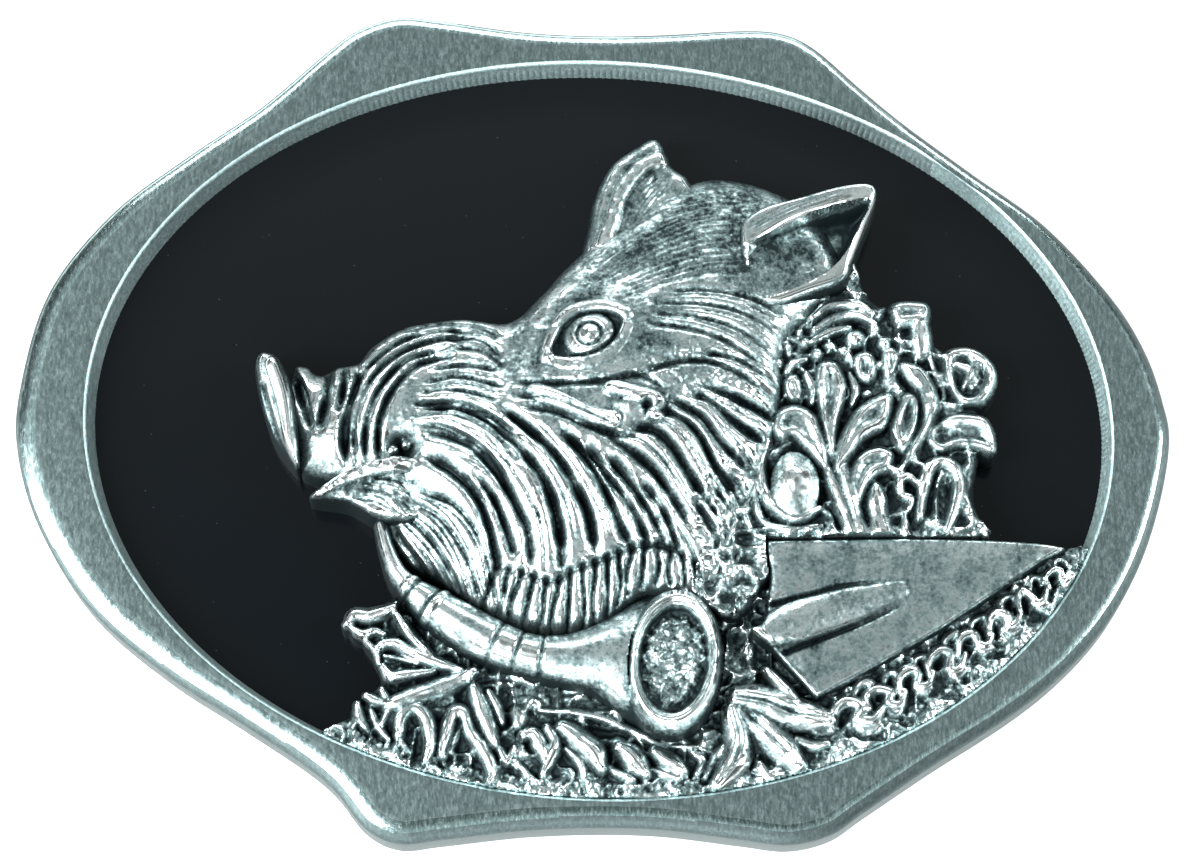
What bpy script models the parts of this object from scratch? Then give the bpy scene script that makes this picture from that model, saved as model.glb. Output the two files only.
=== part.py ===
"""A boar's head belt buckle: a cast pewter frame and relief, a black enamel ground, a wire loop and a hook.

It lies on its back, face up: X runs along the buckle, +Y is the top of the picture, +Z is up.
The picture on the face is drawn with points read from a photograph. The function drawn puts such a
point on the plate, at the height where it was seen, and everything on the face keeps its share of WIDTH.
"""

import math

import bmesh
import bpy
import numpy as np

# Driving sizes, in metres
WIDTH = 0.090
PLATE_THICKNESS = 0.0042
FACE_RISE = 0.0019
ENAMEL_THICKNESS = 0.0008
STANDOFF = 0.0078
EDGE_ROUND = 0.0010
BACK_ROUND = 0.0006
WALL_DRAFT = 0.00060
GAP = 0.0003

WIRE = 0.0028
LOOP_OPENING = 0.0400
LOOP_REACH = 0.0200
LOOP_CORNER = 0.0045
LOOP_X = -0.0235
LUG_LENGTH = 0.0058
LUG_WALL = 0.0013
PIN_PLAY = 0.0003

HOOK_X = 0.0270
HOOK_SHANK = 0.0034
HOOK_HEAD = 0.0074
HOOK_HEAD_THICKNESS = 0.0018
HOOK_FLANGE = 0.0064
HOOK_FLANGE_THICKNESS = 0.0010

# Resolution
RING_STEPS = 96
RELIEF_CELL = 0.00088
WIRE_SIDES = 12

# Heights of the solids, from the table up
BACK_Z = STANDOFF
FACE_Z = BACK_Z + PLATE_THICKNESS
ENAMEL_Z = FACE_Z - FACE_RISE
FLOOR_Z = ENAMEL_Z - ENAMEL_THICKNESS
PIN_RADIUS = WIRE / 2
BORE_RADIUS = PIN_RADIUS + PIN_PLAY
PIN_Z = BORE_RADIUS + LUG_WALL

# How the photograph looks at the plate: pixels, degrees and drawn millimetres
PICTURE_CENTRE = (592.0, 432.0)
LENS_PIXELS = 3830.0
VIEW_DISTANCE = 300.0
VIEW_TILT = math.radians(17.0)
FACE_LEVEL = 1.9

# The frame and the ends of the oval's axes, in picture points at the face, and the oval in drawn millimetres
FRAME_OUTLINE = [
    (1171, 440), (1164, 398), (1146, 348), (1112, 294), (1047, 224), (972, 170), (906, 122), (862, 86),
    (816, 46), (782, 30), (740, 27), (663, 31), (592, 32), (520, 28), (440, 17), (396, 14),
    (356, 27), (323, 51), (260, 104), (187, 153), (110, 211), (47, 290), (18, 386),
    (16, 452), (39, 528), (90, 608), (163, 671), (237, 719), (302, 762), (334, 789),
    (364, 826), (398, 842), (441, 838), (520, 829), (592, 826), (663, 828), (743, 838),
    (790, 843), (832, 833), (866, 810), (934, 764), (1009, 716), (1060, 676), (1104, 628), (1138, 570),
    (1160, 506),
]
OVAL_CENTRE = (598, 420)
OVAL_LONG_ENDS = [(87, 392), (1111, 448)]
OVAL_SHORT_ENDS = [(575, 797), (619, 64)]
OVAL_HALF = (40.2, 30.1)
OVAL_TURN = math.radians(-3.3)
RELIEF_CORNERS = ((240, 840), (1130, 130))

# Relief outlines, in picture points, each with the height in drawn millimetres at which it was read
HEAD = [
    (263, 351), (254, 364), (257, 390), (268, 424), (283, 453), (299, 469), (316, 480),
    (345, 492), (372, 518), (386, 542), (408, 566), (440, 585), (490, 622), (545, 640),
    (600, 632), (645, 600), (690, 604), (745, 610), (800, 560), (850, 520), (862, 440),
    (858, 360), (857, 290), (836, 240), (806, 206), (770, 186), (735, 176), (700, 177),
    (660, 196), (620, 226), (586, 248), (560, 272), (538, 297), (508, 321), (460, 317),
    (405, 325), (372, 344), (357, 361), (338, 364), (320, 372), (306, 363), (292, 366),
    (280, 356),
]
FAR_EAR = [
    (583, 262), (588, 227), (594, 198), (610, 167), (632, 150), (652, 139), (664, 146),
    (674, 168), (690, 182), (700, 215), (650, 245), (615, 262),
]
NEAR_EAR = [
    (736, 224), (762, 208), (800, 198), (838, 188), (868, 186), (877, 198), (866, 228),
    (853, 262), (845, 284), (812, 296), (772, 308), (746, 294), (734, 258),
]
JAW = [
    (310, 497), (324, 485), (346, 473), (372, 465), (404, 461), (440, 464), (452, 484),
    (432, 506), (404, 520), (374, 521), (346, 505),
]
SPEARHEAD = [
    (767, 541), (830, 538), (900, 537), (970, 538), (1030, 541), (1066, 547), (1040, 563),
    (990, 597), (940, 630), (890, 659), (818, 696), (800, 680), (772, 650), (764, 620), (770, 580),
]
BOUQUET = [
    (856, 285), (868, 298), (888, 312), (893, 300), (928, 301), (932, 350), (962, 344),
    (990, 360), (996, 380), (982, 402), (996, 440), (980, 458), (970, 480), (974, 512),
    (988, 545), (900, 560), (790, 560), (740, 600), (700, 560), (740, 420), (780, 340), (820, 290),
]
GROUND = [
    (318, 735), (331, 724), (350, 716), (362, 698), (380, 682), (377, 660), (373, 643),
    (356, 637), (346, 622), (352, 611), (378, 603), (400, 598), (450, 620), (560, 630),
    (690, 590), (780, 590), (900, 620), (1040, 560), (1078, 542), (1104, 560), (1070, 640), (1000, 704),
    (900, 762), (780, 800), (660, 814), (540, 812), (430, 792), (360, 766),
]

# The rounded body of the head: picture point and height above the enamel in drawn millimetres
HEAD_HEIGHTS = [
    (262, 360, 3.4), (276, 400, 5.2), (288, 455, 4.6), (302, 400, 4.0), (326, 395, 4.2),
    (350, 385, 4.4), (372, 352, 3.8), (400, 400, 5.2), (440, 334, 4.2), (480, 355, 4.8),
    (440, 400, 5.6), (340, 440, 4.8), (400, 445, 5.0), (470, 440, 6.3), (520, 420, 6.6),
    (512, 350, 4.4), (540, 310, 4.6), (590, 330, 5.6), (590, 270, 4.6), (640, 290, 5.8),
    (690, 240, 5.2), (700, 195, 3.8), (745, 188, 3.2), (745, 240, 5.0), (790, 220, 4.2),
    (720, 300, 6.3), (700, 380, 6.8), (620, 400, 7.0), (560, 450, 7.0), (630, 480, 6.6),
    (710, 450, 6.2), (770, 420, 5.2), (790, 340, 5.0), (830, 300, 3.8), (850, 400, 3.4),
    (500, 520, 5.8), (560, 540, 5.8), (450, 520, 4.6), (400, 500, 3.8), (376, 520, 2.8),
    (640, 540, 5.4), (520, 600, 4.2), (600, 600, 4.2), (440, 570, 3.4), (700, 540, 4.4),
    (750, 520, 3.6), (720, 596, 3.0), (800, 480, 3.2), (840, 520, 2.8),
]

# Furrows between locks and folds: the relief swells between neighbouring lines
FOLDS = [
    [(262, 385), (270, 415), (282, 442), (292, 462)],
    [(280, 358), (294, 385), (300, 415), (299, 455)],
    [(318, 372), (322, 395), (326, 430)],
    [(342, 366), (347, 385), (350, 410)],
]
MUZZLE = [
    [(372, 463), (366, 440), (370, 412), (388, 380), (415, 362), (450, 354)],
    [(352, 458), (352, 425), (362, 392), (380, 362), (412, 340), (450, 334), (486, 346)],
    [(480, 318), (503, 342), (509, 372)],
    [(415, 395), (450, 391), (486, 400)],
    [(410, 376), (450, 370), (500, 386)],
]
BEARD = [
    [(420, 425), (450, 432), (475, 447), (497, 472), (515, 500), (528, 530), (530, 567)],
    [(425, 450), (450, 465), (475, 490), (488, 520), (500, 563)],
    [(420, 404), (455, 402), (497, 425), (540, 472), (562, 530), (562, 565)],
    [(500, 404), (530, 430), (577, 475), (605, 527), (610, 547)],
    [(560, 435), (580, 452), (600, 482), (617, 512), (630, 540)],
    [(600, 456), (625, 480), (652, 510), (664, 542)],
    [(652, 490), (675, 520), (690, 552)],
]
JAW_LOCKS = [
    [(690, 394), (710, 400), (730, 416), (764, 434)],
    [(654, 412), (692, 426), (726, 472), (762, 478)],
    [(630, 432), (650, 430), (670, 444), (702, 488)],
    [(608, 436), (654, 470), (680, 492)],
]
CHEEK = [
    [(660, 305), (700, 310), (737, 320), (776, 345)],
    [(650, 327), (690, 332), (725, 342), (764, 362)],
    [(700, 352), (740, 357), (778, 380)],
    [(560, 290), (600, 262), (650, 240), (694, 224)],
    [(620, 282), (680, 270), (724, 260)],
]
LOCK_LEVEL = 6.0
CREASE_LEVEL = 6.2
BROW = [(548, 302), (575, 300), (604, 302), (640, 322), (700, 344)]
UNDER_EYE = [(510, 376), (540, 380), (600, 380), (640, 375), (664, 390)]
EYE = (587, 332, 5.9)
WART = (630, 402, 7.2)
TUSK = [(312, 496), (345, 484), (385, 472), (428, 468)]

# The horn: the points on its axis, each with its half width in picture points, then its mouth
HORN_AXIS = [
    (380, 522, 8), (386, 545, 10), (398, 572, 14), (424, 596, 22), (452, 616, 25), (492, 638, 25),
    (530, 652, 24), (566, 656, 27), (600, 656, 38), (636, 657, 60), (666, 657, 73),
]
HORN_BANDS = [2, 5, 6.6]
HORN_HEIGHT = 3.9
BELL_CENTRE = (674, 657)
BELL_HALF = (50, 76)
BELL_MOUTH = (37, 58)
BELL_HEIGHT = 5.4

SOCKET = [(766, 632), (800, 620), (850, 605), (905, 589)]
SOCKET_HALF = [18, 26, 20, 6]

# Leaves: root, middle and tip in picture points, and the half width
RIGHT_LEAVES = [
    ((838, 520), (824, 450), (826, 364), 14), ((850, 500), (860, 440), (884, 394), 15),
    ((866, 520), (862, 490), (886, 446), 14), ((884, 530), (900, 470), (910, 398), 12),
    ((910, 470), (950, 440), (990, 420), 13), ((905, 440), (940, 395), (986, 366), 15),
    ((912, 533), (930, 500), (956, 466), 15), ((940, 536), (960, 520), (984, 530), 10),
    ((905, 400), (896, 350), (910, 304), 12), ((868, 400), (880, 350), (862, 306), 13),
    ((822, 400), (800, 360), (806, 316), 13), ((806, 460), (786, 430), (782, 400), 13),
]
ACORN = (794, 490, 4.4)
LEFT_LEAVES = [
    ((440, 660), (400, 628), (350, 618), 16), ((470, 672), (420, 664), (374, 648), 14),
    ((485, 670), (440, 690), (392, 700), 12), ((420, 760), (400, 730), (366, 700), 14),
    ((430, 765), (420, 735), (404, 712), 13), ((470, 775), (455, 745), (458, 706), 14),
    ((500, 780), (488, 735), (480, 690), 12), ((550, 782), (535, 750), (520, 722), 13),
    ((600, 788), (578, 755), (556, 722), 13), ((650, 790), (642, 760), (622, 732), 13),
    ((700, 786), (690, 765), (680, 742), 12), ((750, 775), (742, 740), (732, 706), 13),
    ((800, 762), (776, 736), (744, 702), 15), ((836, 722), (800, 706), (742, 680), 15),
]
SCROLL_ROW = [(836, 722), (905, 690), (975, 645), (1030, 596), (1074, 556)]
SCROLL_COUNT = 9
SCROLL_ROOT = (14, 10)
SCROLL_MIDDLE = (-4, 2)
SCROLL_TIP = (-16, -16)
SCROLL_HALF = 12
GROUND_LEVEL = 1.1
LEAF_RISE = 1.5


def drawn(points, lift=FACE_LEVEL):
    """Picture points as drawn millimetres on the plate, where the line of sight crosses the height lift."""
    points = np.asarray(points, float)
    across = (points[..., 0] - PICTURE_CENTRE[0]) / LENS_PIXELS
    up = (PICTURE_CENTRE[1] - points[..., 1]) / LENS_PIXELS
    drop = np.asarray(lift, float) - FACE_LEVEL
    sine, cosine = math.sin(VIEW_TILT), math.cos(VIEW_TILT)
    y = (up * (VIEW_DISTANCE - drop * cosine) - drop * sine) / (cosine - up * sine)
    x = across * (VIEW_DISTANCE + y * sine - drop * cosine)
    return np.stack([x, y], axis=-1)


def smooth_line(points, closed=False, steps=6):
    """A Catmull-Rom curve through the points."""
    points = np.asarray(points, float)
    if closed:
        before, after, end = np.roll(points, 1, 0), np.roll(points, -1, 0), np.roll(points, -2, 0)
        start = points
    else:
        padded = np.vstack([2 * points[0] - points[1], points, 2 * points[-1] - points[-2]])
        before, start, after, end = padded[:-3], padded[1:-2], padded[2:-1], padded[3:]
    t = np.linspace(0, 1, steps, endpoint=False)[None, :, None]
    before, start, after, end = (part[:, None, :] for part in (before, start, after, end))
    curve = 0.5 * (
        2 * start
        + (after - before) * t
        + (2 * before - 5 * start + 4 * after - end) * t**2
        + (3 * start - before - 3 * after + end) * t**3
    )
    curve = curve.reshape(-1, points.shape[1])
    return curve if closed else np.vstack([curve, points[-1]])


def nearest_on(line, where, closed=False):
    """Each point's distance to a line of points, and how far along the line that is, from 0 to 1."""
    start = line if closed else line[:-1]
    end = np.roll(line, -1, 0) if closed else line[1:]
    run = end - start
    length = np.maximum(np.hypot(run[:, 0], run[:, 1]), 1e-9)
    offset = where[:, None, :] - start[None]
    share = np.clip((offset * run).sum(-1) / length**2, 0, 1)
    gap = np.hypot(*(offset - share[..., None] * run).transpose(2, 0, 1))
    best = gap.argmin(1)
    rows = np.arange(len(where))
    travelled = np.concatenate([[0], np.cumsum(length)])
    along = (travelled[best] + share[rows, best] * length[best]) / travelled[-1]
    return gap[rows, best], along


def depth_inside(outline, where):
    """Distance to a closed outline, positive inside and negative outside."""
    end = np.roll(outline, -1, 0)
    x, y = where[:, :1], where[:, 1:]
    crosses = (outline[:, 1] > y) != (end[:, 1] > y)
    rise = np.where(end[:, 1] == outline[:, 1], 1e-12, end[:, 1] - outline[:, 1])
    hit = outline[:, 0] + (y - outline[:, 1]) / rise * (end[:, 0] - outline[:, 0])
    inside = (crosses & (x < hit)).sum(1) % 2 == 1
    return np.where(inside, 1, -1) * nearest_on(outline, where, True)[0]


def round_over(distance, width):
    """A quarter circle: 0 at the edge, 1 at width from it."""
    share = np.clip(distance / width, 0, 1)
    return np.sqrt(1 - (1 - share) ** 2)


def pillows(lines, lift, where, width):
    """A swelling between furrows: 0 on the lines and 1 at width from the nearest one."""
    nearest = np.full(len(where), 1e9)
    for line in lines:
        nearest = np.minimum(nearest, nearest_on(smooth_line(drawn(line, lift)), where)[0])
    return round_over(nearest, width)


def head_body(where):
    """The smooth body of the head: a surface through HEAD_HEIGHTS, as a thin plate spline."""
    marks = np.array(HEAD_HEIGHTS, float)
    places = drawn(marks[:, :2], marks[:, 2])

    def kernel(a, b):
        square = ((a[:, None] - b[None]) ** 2).sum(-1)
        return square * np.log(square + 1e-9) / 2

    count = len(marks)
    system = np.zeros((count + 3, count + 3))
    system[:count, :count] = kernel(places, places) + np.eye(count) * 4.0
    system[:count, count] = system[count, :count] = 1
    system[:count, count + 1 :] = places
    system[count + 1 :, :count] = places.T
    weights = np.linalg.solve(system, np.concatenate([marks[:, 2], np.zeros(3)]))
    flat = weights[count] + where @ weights[count + 1 :]
    return kernel(where, places) @ weights[:count] + flat


def head(where):
    outline = smooth_line(drawn(HEAD, 2.5), True)
    inside = depth_inside(outline, where)
    height = head_body(where)
    height += 0.55 * (pillows(FOLDS, 4.2, where, 1.1) - 1)
    height += 0.50 * (pillows(MUZZLE, 5.0, where, 0.9) - 1)
    height += 0.85 * (pillows(BEARD, LOCK_LEVEL, where, 1.1) - 1)
    height += 0.60 * (pillows(JAW_LOCKS, LOCK_LEVEL, where, 0.9) - 1)
    height += 0.40 * (pillows(CHEEK, 5.6, where, 0.9) - 1)
    brow, _ = nearest_on(smooth_line(drawn(BROW, 5.8)), where)
    height += 0.55 * (1 - np.clip(brow / 1.3, 0, 1) ** 2)
    crease, _ = nearest_on(smooth_line(drawn(UNDER_EYE, CREASE_LEVEL)), where)
    height -= 0.5 * (1 - round_over(crease, 0.9))
    eye = np.hypot(*(where - drawn(EYE[:2], EYE[2])).T)
    height += np.where(eye < 2.6, -0.5 + 1.1 * np.sqrt(np.clip(1 - (eye / 1.7) ** 2, 0, 1)), 0)
    wart = np.hypot(*(where - drawn(WART[:2], WART[2])).T)
    height += 0.6 * np.exp(-((wart / 1.6) ** 2))
    return inside, height * (0.42 + 0.58 * round_over(inside, 1.5))


def ear(outline, lift, level, bowl, slope):
    """An ear: a raised rim round a sunken bowl, leaning by slope along Y."""

    def height(where):
        edge = smooth_line(drawn(outline, lift), True)
        inside = depth_inside(edge, where)
        middle = edge.mean(0)
        body = level + slope * (where[:, 1] - middle[1])
        sunk = bowl * round_over(inside - 0.8, 2.2)
        return inside, body * (0.7 + 0.3 * round_over(inside, 0.7)) - sunk

    return height


def jaw(where):
    inside = depth_inside(smooth_line(drawn(JAW, 3.6), True), where)
    tusk, along = nearest_on(smooth_line(drawn(TUSK, 3.8)), where)
    width = 0.35 + 0.75 * along
    height = 3.2 + 0.5 * round_over(inside, 1.2)
    height += np.where(tusk < width, 1.1 * np.sqrt(np.clip(1 - (tusk / width) ** 2, 0, 1)), 0)
    return inside, height


def horn(where):
    """A round tube along HORN_AXIS that widens to the bell, with bands and an open mouth."""
    marks = smooth_line(np.array(HORN_AXIS, float))
    axis = drawn(marks[:, :2], HORN_HEIGHT)
    gap, along = nearest_on(axis, where)
    half = np.interp(along, np.linspace(0, 1, len(marks)), marks[:, 2]) * picture_pitch()
    for band in HORN_BANDS:
        half = half * (1 + 0.10 * (abs(along - band / (len(HORN_AXIS) - 1)) < 0.02))
    tube = 1 - (gap / half) ** 2
    top = 1.6 + (HORN_HEIGHT - 1.6) * np.sqrt(np.clip(tube, 0, 1)) + 0.9 * along**2
    centre = drawn(BELL_CENTRE, BELL_HEIGHT)
    offset = where - centre
    pitch = picture_pitch()
    outer = np.hypot(offset[:, 0] / BELL_HALF[0], offset[:, 1] / BELL_HALF[1]) / pitch
    mouth = np.hypot(offset[:, 0] / BELL_MOUTH[0], offset[:, 1] / BELL_MOUTH[1]) / pitch
    rim = BELL_HEIGHT - 2.2 * (1 - round_over(1 - outer, 0.24)) - 2.4 * round_over(1 - mouth, 0.25)
    inside = np.maximum(half - gap, (1 - outer) * BELL_HALF[0] * pitch)
    return inside, np.where(outer < 1, np.maximum(rim, 1.6), top)


def spearhead(where):
    """A flat blade with a raised socket that tapers into it."""
    inside = depth_inside(smooth_line(drawn(SPEARHEAD, 3.0), True), where)
    axis = smooth_line(drawn(SOCKET, 3.4))
    gap, along = nearest_on(axis, where)
    half = np.interp(along, np.linspace(0, 1, len(SOCKET)), SOCKET_HALF) * picture_pitch()
    tube = np.sqrt(np.clip(1 - (gap / half) ** 2, 0, 1))
    furrow = np.exp(-(((gap - half) / 0.5) ** 2)) * (along < 0.98)
    return inside, 2.6 + 0.5 * round_over(inside, 3.0) + 1.0 * tube - 0.35 * furrow


def leaves(outline, lift, level, edge, blades):
    """A low ground with leaves on it, each a rounded blade with a sunken rib."""

    def height(where):
        inside = depth_inside(smooth_line(drawn(outline, lift), True), where)
        ground = level * (0.6 + 0.4 * round_over(inside, edge))
        top = ground.copy()
        for root, middle, tip, half in blades:
            rib = smooth_line(drawn([root, middle, tip], lift + LEAF_RISE))
            gap, along = nearest_on(rib, where)
            width = half * picture_pitch() * np.sqrt(np.clip(1.15 - (2 * along - 0.9) ** 2, 0.05, 1))
            blade = ground + LEAF_RISE * round_over(width - gap, 0.8) - 0.45 * np.exp(-((gap / 0.3) ** 2))
            top = np.where(gap < width, np.maximum(top, blade), top)
        return inside, top

    return height


def acorn(where):
    gap = np.hypot(*(where - drawn(ACORN[:2], ACORN[2])).T) / 1.7
    return 1 - gap, 2.6 + 1.9 * np.sqrt(np.clip(1 - gap**2, 0, 1))


def scrolls():
    """The row of small leaves under the spearhead, evenly spaced and leaning the same way."""
    line = smooth_line(np.array(SCROLL_ROW, float))
    places = line[np.linspace(0, len(line) - 1, SCROLL_COUNT).astype(int)]
    steps = (SCROLL_ROOT, SCROLL_MIDDLE, SCROLL_TIP)
    return [(*(place + step for step in steps), SCROLL_HALF) for place in places]


def picture_pitch():
    """Drawn millimetres to one picture point, near the middle of the plate."""
    return VIEW_DISTANCE / LENS_PIXELS


def layers():
    """The figures of the relief, the lowest first."""
    return [
        leaves(GROUND, 1.2, GROUND_LEVEL, 1.0, LEFT_LEAVES + scrolls()),
        leaves(BOUQUET, 2.0, 2.0, 1.0, RIGHT_LEAVES),
        ear(FAR_EAR, 2.6, 3.0, 0.8, -0.06),
        head,
        acorn,
        ear(NEAR_EAR, 5.4, 5.6, 1.5, 0.02),
        jaw,
        spearhead,
        horn,
    ]


def footprint(where):
    """Depth inside the outline of the whole relief."""
    return np.max([layer(where)[0] for layer in layers()], axis=0)


def relief_height(where):
    """Height of the relief above the enamel, in drawn millimetres."""
    top = np.zeros(len(where))
    for layer in layers():
        inside, height = layer(where)
        top = np.where(inside > -0.05, np.maximum(top, height), top)
    covered = depth_inside(oval_line(), where) < 0
    return np.where(covered, np.minimum(top, FACE_LEVEL / 2), np.maximum(top, 0.5))


def oval_line():
    turn = np.linspace(0, 2 * math.pi, RING_STEPS, endpoint=False)
    along, across = OVAL_HALF[0] * np.cos(turn), OVAL_HALF[1] * np.sin(turn)
    cosine, sine = math.cos(OVAL_TURN), math.sin(OVAL_TURN)
    spun = np.stack([along * cosine - across * sine, along * sine + across * cosine], -1)
    return spun + drawn(OVAL_CENTRE)


def oval_radius(half, angle):
    """Distance from the oval's centre to its edge in the direction angle."""
    return 1 / np.hypot(np.cos(angle - OVAL_TURN) / half[0], np.sin(angle - OVAL_TURN) / half[1])


def frame_line():
    """The outer edge of the frame, as far outside the oval as in the photograph, a point for each of the oval's."""
    curve = smooth_line(drawn(FRAME_OUTLINE), True)
    centre = drawn(OVAL_CENTRE)
    angle = np.unwrap(np.arctan2(*(curve - centre).T[::-1]))
    seen = [math.dist(*drawn(ends)) / 2 for ends in (OVAL_LONG_ENDS, OVAL_SHORT_ENDS)]
    band = np.hypot(*(curve - centre).T) - oval_radius(seen, angle)
    wanted = np.arctan2(*(oval_line() - centre).T[::-1])
    wanted = angle[0] + (wanted - angle[0]) % (2 * math.pi)
    band = np.interp(wanted, np.append(angle, angle[0] + 2 * math.pi), np.append(band, band[0]))
    radius = oval_radius(OVAL_HALF, wanted) + band
    return centre + np.stack([radius * np.cos(wanted), radius * np.sin(wanted)], -1)


def drawing_frame():
    """The middle of the outline as photographed, and metres to one drawn millimetre."""
    line = smooth_line(drawn(FRAME_OUTLINE), True)
    low, high = line.min(0), line.max(0)
    return (low + high) / 2, WIDTH / (high[0] - low[0])


CENTRE, SCALE = drawing_frame()


def in_metres(where):
    return (where - CENTRE) * SCALE


def inset(line, distance):
    """A closed line moved inwards by distance."""
    along = np.roll(line, -1, 0) - np.roll(line, 1, 0)
    normal = np.stack([-along[:, 1], along[:, 0]], -1)
    return line + distance * normal / np.hypot(*normal.T)[:, None]


def mesh_object(name, vertices, faces, material, collection):
    mesh = bpy.data.meshes.new(name)
    mesh.from_pydata([tuple(map(float, vertex)) for vertex in vertices], [], faces)
    mesh.validate()
    mesh.update()
    made = bpy.data.objects.new(name, mesh)
    made.data.materials.append(material)
    collection.objects.link(made)
    return made


def lofted(name, rings, material, collection):
    """A solid through closed rings of equal count, with a flat face on the first and the last."""
    count = len(rings[0])
    vertices = np.vstack(rings)
    faces = [list(range(count))[::-1]]
    for ring in range(len(rings) - 1):
        for i in range(count):
            j = (i + 1) % count
            low, high = ring * count, (ring + 1) * count
            faces.append([low + i, low + j, high + j, high + i])
    faces.append([(len(rings) - 1) * count + i for i in range(count)])
    return mesh_object(name, vertices, faces, material, collection)


def ring_at(line, height):
    return np.column_stack([line, np.full(len(line), height)])


def tray(material, collection):
    """The frame with its flat face, and the floor under the enamel."""
    outer = in_metres(frame_line())
    oval = in_metres(oval_line())
    rings = [
        ring_at(inset(outer, BACK_ROUND), BACK_Z),
        ring_at(outer, BACK_Z + BACK_ROUND),
        ring_at(outer, FACE_Z - EDGE_ROUND),
        ring_at(inset(outer, 0.3 * EDGE_ROUND), FACE_Z - 0.3 * EDGE_ROUND),
        ring_at(inset(outer, EDGE_ROUND), FACE_Z),
        ring_at(oval, FACE_Z),
        ring_at(inset(oval, WALL_DRAFT), FLOOR_Z),
    ]
    return lofted("casting", rings, material, collection)


def relief_cells(spread):
    """The grid cells inside the footprint, widened by spread, and the grid's points in drawn millimetres."""
    step = RELIEF_CELL / SCALE
    low, high = drawn(RELIEF_CORNERS)
    columns, rows = (np.ceil((high - low) / step)).astype(int)
    across, up = step * np.arange(columns + 1), step * np.arange(rows + 1)
    x, y = np.meshgrid(low[0] + across, low[1] + up)
    points = np.stack([x, y], -1).reshape(-1, 2)
    middles = points.reshape(rows + 1, columns + 1, 2)[:-1, :-1] + step / 2
    filled = (footprint(middles.reshape(-1, 2)) > -spread).reshape(rows, columns)
    for _ in range(8):
        lower_left, lower_right = filled[:-1, :-1], filled[:-1, 1:]
        upper_left, upper_right = filled[1:, :-1], filled[1:, 1:]
        rising = lower_left & upper_right & ~lower_right & ~upper_left
        falling = lower_right & upper_left & ~lower_left & ~upper_right
        filled[:-1, 1:] |= rising
        filled[:-1, :-1] |= falling
    return points, filled, columns


def relief_block(name, spread, flat_top, bottom, material, collection):
    """A block over the footprint: its top is the relief, or flat, its edge follows the outline."""
    points, filled, columns = relief_cells(spread)
    wide = columns + 1
    row, column = np.nonzero(filled)
    first = row * wide + column
    quads = np.stack([first, first + 1, first + 1 + wide, first + wide], -1)
    edges = np.concatenate([quads[:, [0, 1]], quads[:, [1, 2]], quads[:, [2, 3]], quads[:, [3, 0]]])
    known = {(a, b) for a, b in edges.tolist()}
    rim = [(a, b) for a, b in known if (b, a) not in known]
    used = np.unique(quads)
    number = {old: new for new, old in enumerate(used.tolist())}
    where = points[used]
    on_rim = np.array(sorted({number[a] for a, _ in rim}))
    nudge = 0.05
    for _ in range(4):
        place = where[on_rim]
        depth = footprint(place) + spread
        right = footprint(place + [nudge, 0]) + spread - depth
        up = footprint(place + [0, nudge]) + spread - depth
        slope = np.stack([right, up], -1) / nudge
        move = -depth[:, None] * slope / np.maximum((slope**2).sum(-1), 0.25)[:, None]
        where[on_rim] = place + np.clip(move, -0.25, 0.25)
    tops = np.full(len(where), flat_top) if flat_top else ENAMEL_Z + relief_height(where) * SCALE
    flat = in_metres(where)
    count = len(where)
    vertices = np.vstack([np.column_stack([flat, tops]), ring_at(flat, bottom)])
    faces = [[number[i] for i in quad] for quad in quads.tolist()]
    faces += [[number[i] + count for i in quad[::-1]] for quad in quads.tolist()]
    faces += [[number[b], number[a], number[a] + count, number[b] + count] for a, b in sorted(rim)]
    return mesh_object(name, vertices, faces, material, collection)


def boolean(target, tool, operation):
    cut = target.modifiers.new(f"{operation.lower()} {tool.name}", "BOOLEAN")
    cut.operation = operation
    cut.solver = "EXACT"
    cut.object = tool


def lug_block(name, side, material, cutters):
    """A lug that hangs from the back and holds one end of the wire."""
    bpy.ops.mesh.primitive_cube_add(size=1)
    block = bpy.context.object
    block.name = name
    width = 2 * (BORE_RADIUS + LUG_WALL)
    top = BACK_Z + PLATE_THICKNESS / 4
    block.scale = (width, LUG_LENGTH, top)
    block.location = (LOOP_X, side * lug_centre(), top / 2)
    bpy.ops.object.transform_apply(location=False, rotation=False, scale=True)
    rounded = block.modifiers.new("rounded foot", "BEVEL")
    rounded.width = LUG_WALL
    rounded.segments = 2
    block.data.materials.append(material)
    move_to(block, cutters)
    return block


def lug_centre():
    return loop_side() - LOOP_CORNER - GAP - LUG_LENGTH / 2


def loop_side():
    """The middle of the loop's side wires, across the buckle."""
    return LOOP_OPENING / 2 + PIN_RADIUS


def loop_bar():
    """The middle of the loop's far bar at rest, where it lies on the table."""
    drop = PIN_Z - PIN_RADIUS
    return LOOP_X + math.sqrt(LOOP_REACH**2 - drop**2), PIN_RADIUS


def move_to(made, collection):
    for held in list(made.users_collection):
        held.objects.unlink(made)
    collection.objects.link(made)


def as_helper(made):
    made.hide_render = True
    made.display_type = "WIRE"


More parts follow.
